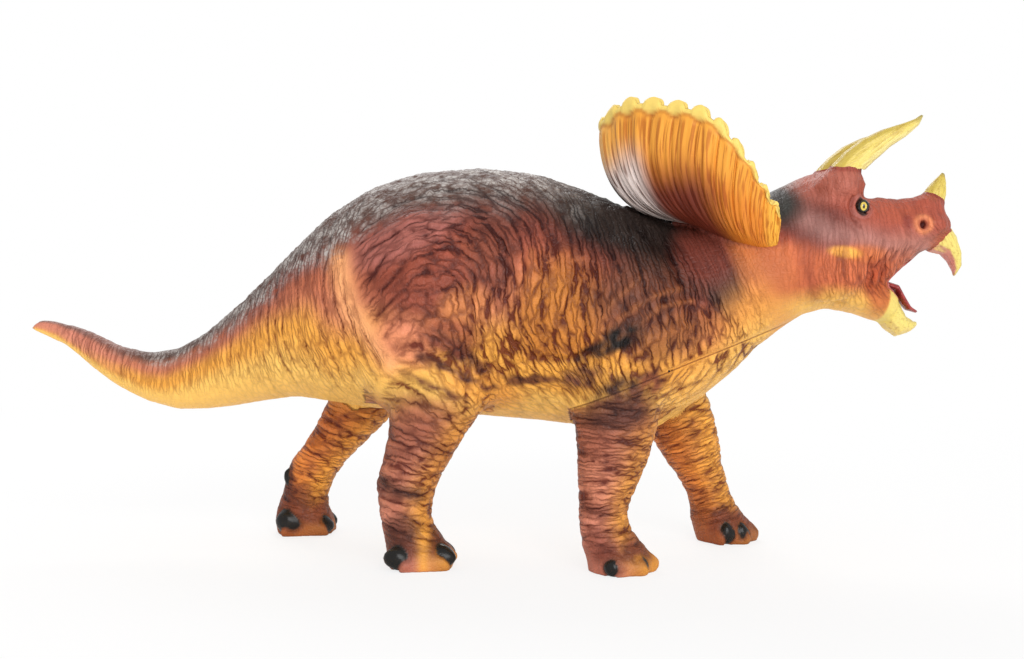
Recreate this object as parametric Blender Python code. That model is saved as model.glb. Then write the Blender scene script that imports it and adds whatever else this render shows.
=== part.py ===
"""Hollow toy figure of a horned dinosaur, walking, with its mouth wide open.

The figure is glued together from soft vinyl mouldings: a back shell, a chest
shell, a tail, four legs and a head shell, with the frill, the horns, the beak,
the mouth lining, the tongue and the eyes set into the head. Nothing moves.

Metres, +Z up, +X towards the beak. The sculpt stands on Z = 0 with X = 0 at the
tail joint; an empty carries all pieces and centres the figure over its feet.
"""
import bpy
import bmesh
from math import cos, sin, pi, radians
from mathutils import Matrix, Vector

# Trunk and tail
BACK_HEIGHT = 0.165
TRUNK_LENGTH = 0.200
TRUNK_DEPTH = 0.107
TRUNK_WIDTH = 0.084
NECK_WIDTH = 0.055
TAIL_LENGTH = 0.110
TAIL_ROOT_DEPTH = 0.056
TAIL_ROOT_WIDTH = 0.050

# Legs
FEET_SPREAD = 0.072
HIP_SPREAD = 0.048
HIND_LEG_WIDTH = 0.044
FORE_LEG_WIDTH = 0.040
TOE_WIDTH = 0.0080
TOE_HEIGHT = 0.0100
HAUNCH_LENGTH = 0.076
HAUNCH_HEIGHT = 0.092
HAUNCH_WIDTH = 0.047
SHOULDER_LENGTH = 0.060
SHOULDER_HEIGHT = 0.078
SHOULDER_WIDTH = 0.040

# Head
HEAD_LENGTH = 0.096
HEAD_DEPTH = 0.065
HEAD_WIDTH = 0.054
EYE_DIAMETER = 0.0062
BROW_HORN_LENGTH = 0.040
BROW_HORN_WIDTH = 0.0132
NOSE_HORN_LENGTH = 0.0130
NOSE_HORN_WIDTH = 0.0108
UPPER_BEAK_DROP = 0.023
UPPER_BEAK_WIDTH = 0.0190
LOWER_BEAK_DROP = 0.020
LOWER_BEAK_WIDTH = 0.0230
TONGUE_LENGTH = 0.030
TONGUE_WIDTH = 0.0120
TONGUE_THICKNESS = 0.0034

# Frill
FRILL_WIDTH = 0.093
FRILL_HEIGHT = 0.060
FRILL_SWEEP = 0.071
FRILL_THICKNESS = 0.0028
FLUTE_DEPTH = 0.0006
SCALLOP_HEIGHT = 0.0030
SCALLOP_COUNT = 21

# Walls, joints and clearances
WALL = 0.0035
SKULL_WALL = 0.0063
KEEL_WIDTH = 0.022
KEEL_EASE = 0.0005
LINING_WALL = 0.0016
GAP = 0.0003
FRILL_GAP = 0.0005
LIP_LENGTH = 0.0060
LIP_WALL = 0.0018
LIP_ROOT = 0.0012
PEG_WIDTH = 0.0085
PEG_DEPTH = 0.0120
PEG_LENGTH = 0.0070
HORN_PEG_WIDTH = 0.0036
HORN_PEG_DEPTH = 0.0047
HORN_PEG_LENGTH = 0.0036
BEAK_PEG_LENGTH = 0.0008

# Sides of every air space and of every horn
AIR_SIDES = 16
HORN_SIDES = 12

# Grain of the sculpt, and the overrun of every cut
BODY_GRAIN = 0.0022
HEAD_GRAIN = 0.0016
OVERRUN = 0.060

# Poses, in degrees
HEAD_YAW = 6.6
NECK_TILT = 34
TAIL_TILT = 25
SEAM_TILT = 21.2
BROW_TILT = 12
CHEEK_TILT = 15

# How softly the sculpt is rubbed, how often, and the edge angle that stays sharp
RUB_SHARE = 0.5
BODY_RUBS = 8
HEAD_RUBS = 4
SHARP_ANGLE = 40

# Triangles that each sculpted skin may keep
BODY_TRIANGLES = 4000
HEAD_TRIANGLES = 1800


def along(share):
    """A place along the trunk, from the tail joint forward."""
    return TRUNK_LENGTH * share


def below_back(share):
    """A height, given as the share of the trunk's depth below its highest point."""
    return BACK_HEIGHT - TRUNK_DEPTH * share


def side_point(x, z):
    return Vector((x, 0, z))


def add_piece(name, bm):
    """A named object from a bmesh, its faces flat triangles turned outward."""
    bmesh.ops.triangulate(bm, faces=bm.faces, quad_method="FIXED")
    bmesh.ops.recalc_face_normals(bm, faces=bm.faces)
    mesh = bpy.data.meshes.new(name)
    bm.to_mesh(mesh)
    bm.free()
    piece = bpy.data.objects.new(name, mesh)
    bpy.context.collection.objects.link(piece)
    return piece


def discard(*pieces):
    for piece in pieces:
        bpy.data.objects.remove(piece)


def settle(piece):
    """Replaces a piece's mesh with what its modifiers make of it."""
    bpy.context.view_layer.update()
    graph = bpy.context.evaluated_depsgraph_get()
    mesh = bpy.data.meshes.new_from_object(piece.evaluated_get(graph))
    piece.modifiers.clear()
    piece.data = mesh


def copy_of(piece, name):
    twin = bpy.data.objects.new(name, piece.data.copy())
    bpy.context.collection.objects.link(twin)
    return twin


def carve(piece, tool, operation="DIFFERENCE"):
    """One Boolean with a closed tool."""
    step = piece.modifiers.new(operation.lower(), "BOOLEAN")
    step.operation = operation
    step.solver = "EXACT"
    step.object = tool
    settle(piece)


def grown(piece, name, amount):
    """A copy whose skin stands out by an even amount."""
    twin = copy_of(piece, name)
    twin.modifiers.new("flat", "TRIANGULATE")
    swell = twin.modifiers.new("swell", "DISPLACE")
    swell.mid_level = 0
    swell.strength = amount
    settle(twin)
    return twin


def loft(name, rings, sides=28):
    """A closed skin over rings, each a centre, a side half-axis, an up half-axis and a taper."""
    bm = bmesh.new()
    loops = []
    for centre, side, up, taper in rings:
        verts = bmesh.ops.create_circle(bm, segments=sides, radius=1)["verts"]
        edges = list({edge for vert in verts for edge in vert.link_edges})
        for vert in verts:
            across, rise = vert.co.x, vert.co.y
            vert.co = centre + side * (across * (1 - taper * rise)) + up * rise
        loops.append(edges)
    for first, second in zip(loops, loops[1:]):
        bmesh.ops.bridge_loops(bm, edges=first + second)
    for end in (loops[0], loops[-1]):
        bmesh.ops.contextual_create(bm, geom=end)
    return add_piece(name, bm)


def upright(top, low, half_width, inset=0, taper=0):
    """A ring between a top and a low point, drawn in all round by an inset."""
    centre = (top + low) / 2
    rise = (top - low) / 2
    rise = rise.normalized() * (rise.length - inset)
    return centre, Vector((0, half_width - inset, 0)), rise, taper


def ball(name, centre, size, tilt=0, detail=3):
    """An ellipsoid of full size x, y, z, tilted nose up in degrees."""
    bm = bmesh.new()
    bmesh.ops.create_icosphere(bm, subdivisions=detail, radius=1)
    place = Matrix.Translation(centre) @ Matrix.Rotation(radians(-tilt), 4, "Y")
    half_size = [length / 2 for length in size]
    bmesh.ops.transform(bm, matrix=place @ Matrix.Diagonal((*half_size, 1)), verts=bm.verts)
    return add_piece(name, bm)


def rod(name, start, end, width, height):
    """An oval rod from start to end, its longer axis in the figure's side view."""
    axis = (end - start).normalized()
    side = Vector((0, 1, 0))
    long_way = axis.cross(side).normalized()
    short_way = long_way.cross(axis)
    rings = [(point, short_way * width / 2, long_way * height / 2, 0) for point in (start, end)]
    return loft(name, rings, sides=12)


def prism(name, outline, low_y, high_y):
    """A side-view outline carried across the figure from one Y to another."""
    bm = bmesh.new()
    verts = [bm.verts.new((point.x, low_y, point.z)) for point in outline]
    face = bm.faces.new(verts)
    solid = bmesh.ops.extrude_face_region(bm, geom=[face])["geom"]
    moved = [part for part in solid if isinstance(part, bmesh.types.BMVert)]
    bmesh.ops.translate(bm, vec=Vector((0, high_y - low_y, 0)), verts=moved)
    return add_piece(name, bm)


def widened(outline, gap):
    """A side-view outline moved out by a gap on every edge."""
    area = sum(a.x * b.z - b.x * a.z for a, b in zip(outline, outline[1:] + outline[:1]))
    turn = 1 if area > 0 else -1
    moved = []
    for before, here, after in zip(outline[-1:] + outline[:-1], outline, outline[1:] + outline[:1]):
        into = (here - before).normalized()
        away = (after - here).normalized()
        first = Vector((into.z, 0, -into.x)) * turn
        second = Vector((away.z, 0, -away.x)) * turn
        moved.append(here + (first + second) * gap / (1 + first.dot(second)))
    return moved


def half_plane(point, tilt, ahead, reach):
    """A side-view outline in front of (+1) or behind (-1) a joint that leans by tilt."""
    lean = Vector((-sin(radians(tilt)), 0, cos(radians(tilt))))
    out = Vector((cos(radians(tilt)), 0, sin(radians(tilt)))) * ahead
    high = point + lean * reach
    low = point - lean * reach
    return [low, high, high + out * reach, low + out * reach]


def joined(name, forms):
    """Several closed forms in one mesh, ready to be made one skin."""
    bm = bmesh.new()
    for form in forms:
        bm.from_mesh(form.data)
    discard(*forms)
    return add_piece(name, bm)


def skin_over(name, forms, grain, triangles, soften):
    """One soft skin over overlapping forms, as a modeller smooths clay over balls and rolls."""
    skin = joined(name, forms)
    clay = skin.modifiers.new("clay", "REMESH")
    clay.mode = "VOXEL"
    clay.voxel_size = grain
    rub = skin.modifiers.new("rub", "SMOOTH")
    rub.factor = RUB_SHARE
    rub.iterations = soften
    settle(skin)
    thin = skin.modifiers.new("thin", "DECIMATE")
    thin.ratio = triangles / (2 * len(skin.data.polygons))
    settle(skin)
    return skin


# Rings of the trunk: top along, top drop, low along, low drop, width
TRUNK_SHARES = [
    (0.010, 0.430, 0.010, 0.940, 0.62),
    (0.075, 0.310, 0.075, 0.925, 0.74),
    (0.145, 0.187, 0.145, 0.944, 0.83),
    (0.240, 0.075, 0.240, 0.970, 0.92),
    (0.340, 0.019, 0.340, 0.985, 0.97),
    (0.470, 0.000, 0.470, 0.995, 1.00),
    (0.600, 0.028, 0.600, 1.012, 1.00),
    (0.730, 0.117, 0.740, 1.045, 0.95),
    (0.815, 0.190, 0.850, 1.040, 0.86),
    (0.860, 0.224, 0.940, 0.920, 0.76),
    (0.900, 0.234, 1.015, 0.804, 0.69),
]
NECK_SHARES = [
    (0.940, 0.224, 1.060, 0.715, 1.00),
    (1.015, 0.178, 1.105, 0.645, 0.98),
    (1.085, 0.105, 1.150, 0.589, 0.98),
]
# Rings of the tail: distance behind the joint, rise, depth, width
TAIL_SHARES = [
    (0.980, 0.047, 0.06, 0.06),
    (0.955, 0.051, 0.115, 0.11),
    (0.918, 0.050, 0.143, 0.15),
    (0.818, 0.016, 0.190, 0.20),
    (0.727, -0.034, 0.285, 0.28),
    (0.610, -0.105, 0.335, 0.34),
    (0.480, -0.150, 0.393, 0.42),
    (0.355, -0.156, 0.490, 0.54),
    (0.236, -0.120, 0.616, 0.68),
    (0.110, -0.060, 0.786, 0.84),
]
TAIL_JOINT_SHARE = 0.696
BACK_TAPER_SHARE = 0.12
TAIL_AIR_ROW = 4


def body_rings(rows, width, inset):
    """Rings of the trunk or the neck, drawn in by an inset."""
    rings = []
    for top_x, top_z, low_x, low_z, wide in rows:
        top = side_point(along(top_x), below_back(top_z))
        low = side_point(along(low_x), below_back(low_z))
        rings.append(upright(top, low, width / 2 * wide, inset, BACK_TAPER_SHARE))
    return rings


def trunk_rings(inset, from_row=0):
    return body_rings(TRUNK_SHARES[from_row:], TRUNK_WIDTH, inset)


def neck_rings(inset):
    return body_rings(NECK_SHARES, NECK_WIDTH, inset)


def tail_rings(inset=0, from_row=0):
    rings = []
    joint_height = below_back(TAIL_JOINT_SHARE)
    for back, rise, deep, wide in TAIL_SHARES[from_row:]:
        centre = side_point(-TAIL_LENGTH * back, joint_height + TAIL_LENGTH * rise)
        half_side = Vector((0, TAIL_ROOT_WIDTH / 2 * wide - inset, 0))
        half_up = Vector((0, 0, TAIL_ROOT_DEPTH / 2 * deep - inset))
        rings.append((centre, half_side, half_up, BACK_TAPER_SHARE))
    return rings


# Legs: height of each ring above the ground, its length and its width
HIND_LEG_SHARES = [
    (1.00, 1.27, 0.77), (0.84, 1.22, 0.77), (0.76, 1.00, 0.77), (0.68, 0.94, 0.75),
    (0.60, 0.84, 0.68), (0.52, 0.73, 0.61), (0.43, 0.65, 0.57), (0.35, 0.60, 0.55),
    (0.27, 0.54, 0.51), (0.19, 0.49, 0.48), (0.13, 0.54, 0.53), (0.06, 0.63, 0.60),
    (-0.03, 0.61, 0.58),
]
FORE_LEG_SHARES = [
    (1.00, 1.10, 0.75), (0.81, 1.00, 0.75), (0.725, 0.96, 0.75), (0.64, 0.90, 0.73),
    (0.56, 0.82, 0.70), (0.465, 0.74, 0.65), (0.38, 0.64, 0.59), (0.295, 0.55, 0.53),
    (0.23, 0.50, 0.50), (0.17, 0.54, 0.53), (0.105, 0.65, 0.62), (0.04, 0.65, 0.63),
    (-0.03, 0.61, 0.60),
]
# How far each of those rings swings forward in the stride
BEND_SHARES = {
    "hind_leg_right": [
        0.03, 0.07, 0.12, 0.10, 0.065, 0.034, 0, -0.036, -0.045, -0.04, -0.015, 0.02, 0.025,
    ],
    "hind_leg_left": [
        -0.06, -0.14, -0.21, -0.28, -0.345, -0.41, -0.485, -0.56, -0.61, -0.635, -0.65, -0.65, -0.635,
    ],
    "foreleg_right": [
        -0.01, -0.02, -0.024, -0.03, -0.03, -0.04, -0.057, -0.074, -0.082, -0.068, -0.037, -0.01, -0.015,
    ],
    "foreleg_left": [
        0.02, 0.126, 0.174, 0.216, 0.253, 0.29, 0.32, 0.362, 0.39, 0.414, 0.437, 0.46, 0.468,
    ],
}
HIP_SHARES = (0.36, 0.607)
SHOULDER_SHARES = (0.78, 0.654)
HAUNCH_SHARES = (0.372, 0.46, 0.580)
BLADE_SHARES = (0.778, 0.46, 0.636)
HIND_TOE_ANGLES = [-112, -37, 37, 112]
FORE_TOE_ANGLES = [-95, -47, 0, 47, 95]
TOE_RISE_SHARE = 0.31


class Leg:
    """One leg's joint with the trunk, its rings and its toes."""

    def __init__(self, name, outline_shares, top_shares=None):
        self.name = name
        self.hind = name.startswith("hind")
        self.side = -1 if name.endswith("right") else 1
        self.girth = HIND_LEG_WIDTH if self.hind else FORE_LEG_WIDTH
        place, drop = HIP_SHARES if self.hind else SHOULDER_SHARES
        self.top_x = along(place)
        self.height = below_back(drop)
        self.shares = HIND_LEG_SHARES if self.hind else FORE_LEG_SHARES
        self.outline = leg_outline(self, outline_shares, top_shares)

    def centre(self, high, bend):
        spread = FEET_SPREAD + (HIP_SPREAD - FEET_SPREAD) * max(high, 0)
        return Vector((self.top_x + self.height * bend, self.side * spread / 2, self.height * high))

    def forms(self):
        rings = []
        for (high, deep, wide), bend in zip(self.shares, BEND_SHARES[self.name]):
            length = Vector((self.girth / 2 * deep, 0, 0))
            width = Vector((0, self.girth / 2 * wide, 0))
            rings.append((self.centre(high, bend), length, width, 0))
        made = [loft(self.name + "_form", rings)]
        high, deep, wide = self.shares[-2]
        foot = self.centre(high, BEND_SHARES[self.name][-2])
        for angle in HIND_TOE_ANGLES if self.hind else FORE_TOE_ANGLES:
            reach_x = cos(radians(angle)) * self.girth / 2 * deep
            reach_y = sin(radians(angle)) * self.girth / 2 * wide
            toe = foot + Vector((reach_x, reach_y, 0))
            toe.z = TOE_HEIGHT * TOE_RISE_SHARE
            made.append(ball("toe", toe, (TOE_WIDTH, TOE_WIDTH, TOE_HEIGHT), detail=2))
        return made


# Side-view outlines of the cuts, in heights of the leg: forward from its joint, and up
HIND_RIGHT_SHARES = [
    (-0.21, 0.78), (-0.25, 0.62), (-0.28, 0.48), (-0.28, -0.15),
    (0.26, -0.15), (0.26, 0.50), (0.33, 0.70),
]
HIND_LEFT_SHARES = [
    (-0.52, 0.78), (-0.57, 0.62), (-0.92, 0.47), (-0.92, -0.15),
    (-0.36, -0.15), (-0.34, 0.15), (-0.12, 0.52), (-0.11, 0.67),
]
FORE_RIGHT_SHARES = [
    (-0.2315, 0.55), (-0.358, 0.40), (-0.358, -0.15), (0.295, -0.15), (0.2525, 0.50),
]
FORE_LEFT_SHARES = [
    (-0.042, 0.55), (0.126, 0.18), (0.147, -0.15), (0.842, -0.15),
    (0.716, 0.18), (0.547, 0.48), (0.4315, 0.735),
]
FORE_RIGHT_TOP_SHARES = (-0.2315, 0.2105)
FORE_LEFT_TOP_SHARES = (-0.147, 0.242)
PEG_SHARES = {
    "hind_leg_right": (0.09, 0.735),
    "hind_leg_left": (-0.31, 0.720),
    "foreleg_right": (-0.021, 0),
    "foreleg_left": (0.074, 0),
}
PEG_SHIFT_SHARE = 0.3
SEAM_SHARES = (0.860, 0.806)
NECK_JOINT_SHARES = (0.9725, 0.486)
FLOOR_SHARE = 0.750
FLOOR_FRONT_SHARE = 0.985
CHEST_REAR_SHARE = 0.670
CHEST_LIP_REAR_SHARE = 0.685


SEAM_SLOPE = sin(radians(SEAM_TILT)) / cos(radians(SEAM_TILT))
TAIL_JOINT = side_point(0, below_back(TAIL_JOINT_SHARE))
NECK_JOINT = side_point(along(NECK_JOINT_SHARES[0]), below_back(NECK_JOINT_SHARES[1]))
REACH = TRUNK_LENGTH + TAIL_LENGTH + HEAD_LENGTH


def seam_height(x):
    """The height of the straight glue seam above the chest and the forelegs."""
    return below_back(SEAM_SHARES[1]) + (x - along(SEAM_SHARES[0])) * SEAM_SLOPE


def seam_outline(low_offset, high_offset, rear_share):
    """A band along the seam, from one distance above it to another."""
    rear = along(rear_share)
    front = rear + REACH
    return [
        side_point(rear, seam_height(rear) + low_offset),
        side_point(front, seam_height(front) + low_offset),
        side_point(front, seam_height(front) + high_offset),
        side_point(rear, seam_height(rear) + high_offset),
    ]


def leg_outline(leg, shares, top_shares=None):
    outline = [side_point(leg.top_x + leg.height * x, leg.height * z) for x, z in shares]
    if top_shares:
        rear, front = (leg.top_x + leg.height * share for share in top_shares)
        outline = [side_point(rear, seam_height(rear))] + outline
        outline.append(side_point(front, seam_height(front)))
    return outline


def hollow_form(name, allowance):
    """The air inside the figure, drawn in by an allowance: a wide vault over a narrow keel."""
    inset = WALL + allowance
    air = loft(name, tail_rings(inset, -1) + trunk_rings(inset) + neck_rings(inset), AIR_SIDES)
    rear = TAIL_JOINT.x - OVERRUN
    front = along(FLOOR_FRONT_SHARE) + allowance
    top = below_back(FLOOR_SHARE) + allowance
    floor = prism("floor", [side_point(rear, -OVERRUN), side_point(front, -OVERRUN),
                            side_point(front, top), side_point(rear, top)], -OVERRUN, OVERRUN)
    keel = loft("keel", tail_rings(inset + KEEL_EASE, -1) + trunk_rings(inset + KEEL_EASE), AIR_SIDES)
    half = KEEL_WIDTH / 2 - allowance
    slot = prism("slot", [side_point(rear, -OVERRUN), side_point(REACH, -OVERRUN),
                          side_point(REACH, REACH), side_point(rear, REACH)], -half, half)
    carve(keel, slot, "INTERSECT")
    carve(air, floor)
    carve(air, keel, "UNION")
    discard(floor, keel, slot)
    return air


# Head: rings of the skull, of the lower jaw and of the mouth's hollow
SKULL_SHARES = [
    (0.345, 0.700, 0.430, -0.160, 1.00),
    (0.440, 0.746, 0.527, -0.138, 0.96),
    (0.570, 0.690, 0.634, -0.085, 0.85),
    (0.656, 0.577, 0.710, -0.015, 0.72),
    (0.763, 0.560, 0.774, 0.092, 0.61),
    (0.870, 0.577, 0.860, 0.200, 0.52),
    (0.957, 0.515, 0.940, 0.254, 0.43),
    (0.995, 0.430, 0.990, 0.323, 0.24),
]
JAW_SHARES = [
    (0.548, 0.146, 0.484, -0.160, 0.81),
    (0.656, 0.070, 0.580, -0.185, 0.70),
    (0.730, 0.008, 0.656, -0.226, 0.59),
    (0.770, -0.070, 0.710, -0.246, 0.46),
]
MOUTH_SHARES = [
    (0.473, 0.054, 0.462, -0.023, 0.19),
    (0.527, 0.070, 0.516, -0.030, 0.30),
    (0.634, 0.146, 0.624, -0.085, 0.44),
    (0.763, 0.192, 0.720, -0.130, 0.44),
    (0.935, 0.208, 0.828, -0.192, 0.37),
]
MOUTH_RUNOUT_SHARE = 0.2
HEAD_SHARES = (0.985, 0.472)
HEAD_PIVOT = side_point(along(HEAD_SHARES[0]), below_back(HEAD_SHARES[1]))
TURN = Matrix.Rotation(radians(HEAD_YAW), 3, "Z")
BROW_SHARES = (0.490, 0.47, 0.620)
EYE_SHARES = (0.575, 0.735, 0.485)
LID_SHARES = (0.575, 0.66, 0.485)
NOSTRIL_SHARES = (0.905, 0.44, 0.385)
NOSE_SHARES = (0.885, 0.04, 0.50)
CHEEK_SHARES = (0.42, 0.74, 0.10)
BROW_PAD_SHARES = (0.27, 0.40, 0.27)
LID_PAD_SHARES = (0.123, 0.144, 0.162)
CHEEK_PAD_SHARES = (0.34, 0.30, 0.42)
NOSTRIL_PAD_SHARES = (0.10, 0.14, 0.13)
NOSE_PAD_SHARES = (0.17, 0.36, 0.18)
BROW_HORN_ROOT_SHARES = (0.500, 0.52, 0.700)
BROW_HORN_SPLAY_SHARE = 0.10
NOSE_HORN_ROOT_SHARES = (0.925, 0, 0.545)
UPPER_BEAK_ROOT_SHARES = (0.985, 0, 0.41)
LOWER_BEAK_ROOT_SHARES = (0.697, 0, -0.252)
TONGUE_ROOT_SHARES = (0.598, 0, 0.008)
FRILL_ROOT_SHARES = (0.203, 0, 0.254)


def head_spot(shares, side=1):
    """A place in the head's own frame, before the head is turned aside."""
    x, y, z = shares
    return HEAD_PIVOT + Vector((HEAD_LENGTH * x, HEAD_WIDTH / 2 * y * side, HEAD_DEPTH * z))


def turned(point):
    return HEAD_PIVOT + TURN @ (point - HEAD_PIVOT)


def turned_rings(rings):
    return [(turned(centre), TURN @ side, TURN @ up, taper) for centre, side, up, taper in rings]


def head_rings(shares, inset=0, taper=BACK_TAPER_SHARE):
    rings = []
    for top_x, top_z, low_x, low_z, wide in shares:
        top = head_spot((top_x, 0, top_z))
        low = head_spot((low_x, 0, low_z))
        rings.append(upright(top, low, HEAD_WIDTH / 2 * wide, inset, taper))
    return turned_rings(rings)


def paired_rings(root_shares, rows, size, width):
    """Rings between an outer and an inner outline, given as shares of one size from a root."""
    anchor = head_spot(root_shares)
    rings = []
    for out_x, out_z, in_x, in_z, wide in rows:
        outer = anchor + side_point(size * out_x, size * out_z)
        inner = anchor + side_point(size * in_x, size * in_z)
        rings.append(upright(outer, inner, width / 2 * wide))
    return turned_rings(rings)


def bent_rings(anchor, rows, size, width, thickness, splay=0):
    """Rings square to a bent middle line that may swing outward by a splay."""
    points = [anchor + Vector((size * row[0], splay * row[0], size * row[1])) for row in rows]
    rings = []
    for index, point in enumerate(points):
        ahead = points[min(index + 1, len(points) - 1)] - points[max(index - 1, 0)]
        across = Vector((0, 1, 0))
        rise = across.cross(ahead).normalized() * -1
        rings.append((point, across * width / 2 * rows[index][2], rise * thickness / 2 * rows[index][3], 0))
    return turned_rings(rings)


# Horns: forward, up, width and depth along a bent middle line
BROW_HORN_SHARES = [
    (-0.070, -0.095, 0.95, 1.02),
    (0, 0, 0.95, 1.00),
    (0.100, 0.135, 0.84, 0.86),
    (0.240, 0.255, 0.74, 0.80),
    (0.410, 0.365, 0.56, 0.60),
    (0.580, 0.445, 0.40, 0.43),
    (0.715, 0.530, 0.22, 0.25),
    (0.775, 0.600, 0.06, 0.07),
]
NOSE_HORN_SHARES = [
    (-0.09, -0.20, 1.00, 1.00),
    (0, 0, 0.95, 0.95),
    (0.13, 0.32, 0.76, 0.80),
    (0.25, 0.62, 0.48, 0.50),
    (0.345, 0.92, 0.12, 0.12),
]
# Beak halves: outer outline along and up, inner outline along and up, width
UPPER_BEAK_SHARES = [
    (-0.22, 0.09, -0.52, -0.39, 0.80),
    (0, 0, -0.317, -0.548, 0.98),
    (0.16, -0.24, -0.083, -0.604, 0.90),
    (0.27, -0.548, 0.04, -0.73, 0.62),
    (0.29, -0.787, 0.13, -0.913, 0.34),
    (0.175, -1.0, 0.14, -0.975, 0.07),
]
LOWER_BEAK_SHARES = [
    (-0.25, 0.15, -0.05, 0.60, 0.90),
    (0, 0, 0.265, 0.72, 0.96),
    (0.105, -0.125, 0.35, 0.51, 0.90),
    (0.315, -0.27, 0.515, 0.195, 0.72),
    (0.58, -0.185, 0.70, 0.07, 0.42),
    (0.765, -0.06, 0.785, 0.045, 0.10),
]
# Tongue: forward, up, width and thickness
TONGUE_SHARES = [
    (0, 0, 0.70, 0.90),
    (0.30, 0.017, 1.00, 1.00),
    (0.53, -0.055, 1.00, 1.00),
    (0.62, -0.215, 0.92, 0.92),
    (0.71, -0.335, 0.72, 0.75),
    (0.835, -0.390, 0.25, 0.35),
]

# Frill guides from the midline to the cheek: station, then back, out and up
FRILL_STATION_SHARES = [0, 0.17, 0.35, 0.51, 0.68, 0.84, 1]
FRILL_BASE_SHARES = [
    (-0.500, 0, 0.183), (-0.480, 0.20, 0.167), (-0.410, 0.366, 0.125), (-0.300, 0.495, 0.075),
    (-0.183, 0.560, 0.025), (-0.105, 0.590, 0.008), (-0.028, 0.600, 0.008),
]
FRILL_BELLY_SHARES = [
    (-1.020, 0, 0.240), (-0.920, 0.300, 0.275), (-0.770, 0.620, 0.350), (-0.545, 0.880, 0.320),
    (-0.345, 0.900, 0.210), (-0.170, 0.760, 0.130), (-0.035, 0.670, 0.065),
]
FRILL_RIM_SHARES = [
    (-0.980, 0, 0.883), (-0.866, 0.387, 0.973), (-0.638, 0.700, 0.930), (-0.445, 0.925, 0.840),
    (-0.280, 0.990, 0.610), (-0.140, 0.870, 0.370), (-0.030, 0.740, 0.200),
]
FRILL_ROW_SHARES = [-0.16, 0.10, 0.40, 0.70, 0.91, 1]
GROOVE_ROW_SHARES = [-0.165, 0.10, 0.40]
SCALLOP_COLUMNS = 4
GROOVE_COLUMNS = 2
GROOVE_STRETCH_SHARE = 1.02


def frill_guide(shares, place):
    """A smooth curve through one row of guide points; place runs from -1 to 1 across the frill."""
    stations = [-share for share in reversed(FRILL_STATION_SHARES[1:])] + FRILL_STATION_SHARES
    points = [Vector((x, -y, z)) for x, y, z in reversed(shares[1:])] + [Vector(row) for row in shares]
    index = max(i for i in range(len(stations) - 1) if stations[i] <= place or i == 0)
    span = stations[index + 1] - stations[index]
    near, far = points[index], points[index + 1]
    before = points[max(index - 1, 0)]
    after = points[min(index + 2, len(points) - 1)]
    lead = (far - before) / (stations[index + 1] - stations[max(index - 1, 0)]) * span
    trail = (after - near) / (stations[min(index + 2, len(points) - 1)] - stations[index]) * span
    t = (place - stations[index]) / span
    s = 1 - t
    return (near * (s * s * (1 + 2 * t)) + far * (t * t * (3 - 2 * t))
            + lead * (t * s * s) - trail * (t * t * s))


def frill_point(place, reach):
    """A point of the frill's middle sheet: across from cheek to cheek, out from root to rim."""
    base = frill_guide(FRILL_BASE_SHARES, place)
    belly = frill_guide(FRILL_BELLY_SHARES, place)
    rim = frill_guide(FRILL_RIM_SHARES, place)
    inner = 1 - reach
    share = base * (inner * inner) + belly * (2 * inner * reach) + rim * (reach * reach)
    size = Vector((FRILL_SWEEP, FRILL_WIDTH / 2, FRILL_HEIGHT))
    return head_spot(FRILL_ROOT_SHARES) + Vector(a * b for a, b in zip(share, size))


def frill_sheet(name, thickness, rows, columns, stretch_share):
    """The fluted sheet of the frill with its scalloped rim, given a thickness."""
    bm = bmesh.new()
    count = SCALLOP_COUNT * columns
    line = []
    for reach in rows:
        fresh = []
        for column in range(count + 1):
            place = (2 * column / count - 1) * stretch_share
            point = frill_point(place, reach)
            nudge = 1 / count
            across = frill_point(place + nudge, reach) - frill_point(place - nudge, reach)
            outward = frill_point(place, reach + nudge) - frill_point(place, reach - nudge)
            normal = across.cross(outward).normalized()
            wave = cos(2 * pi * column / columns)
            point = point - normal * FLUTE_DEPTH * wave * max(reach, 0)
            if reach == 1:
                point = point + outward.normalized() * SCALLOP_HEIGHT / 2 * -wave
            fresh.append(bm.verts.new(turned(point)))
        for a, b, c, d in zip(line, line[1:], fresh[1:], fresh) if line else []:
            bm.faces.new((a, b, c, d))
        line = fresh
    sheet = add_piece(name, bm)
    wall = sheet.modifiers.new("wall", "SOLIDIFY")
    wall.thickness = thickness
    wall.offset = 0
    settle(sheet)
    return sheet


def paint(piece, colour, roughness):
    """The piece's own vinyl, in one colour."""
    vinyl = bpy.data.materials.new(piece.name + "_vinyl")
    vinyl.use_nodes = True
    shader = vinyl.node_tree.nodes["Principled BSDF"]
    shader.inputs["Base Color"].default_value = (*colour, 1)
    shader.inputs["Roughness"].default_value = roughness
    shader.inputs["Metallic"].default_value = 0
    piece.data.materials.clear()
    piece.data.materials.append(vinyl)


def body_forms(legs):
    """The rolls and balls that the trunk, the tail and the legs are modelled from."""
    forms = [loft("trunk", tail_rings() + trunk_rings(0) + neck_rings(0))]
    for leg in legs:
        forms += leg.forms()
    muscles = (
        ("haunch", HAUNCH_SHARES, (HAUNCH_LENGTH, HAUNCH_WIDTH, HAUNCH_HEIGHT)),
        ("shoulder", BLADE_SHARES, (SHOULDER_LENGTH, SHOULDER_WIDTH, SHOULDER_HEIGHT)),
    )
    for name, (x, y, z), size in muscles:
        for side in (-1, 1):
            forms.append(ball(name, Vector((along(x), side * HIP_SPREAD * y, below_back(z))), size))
    return forms


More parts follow.
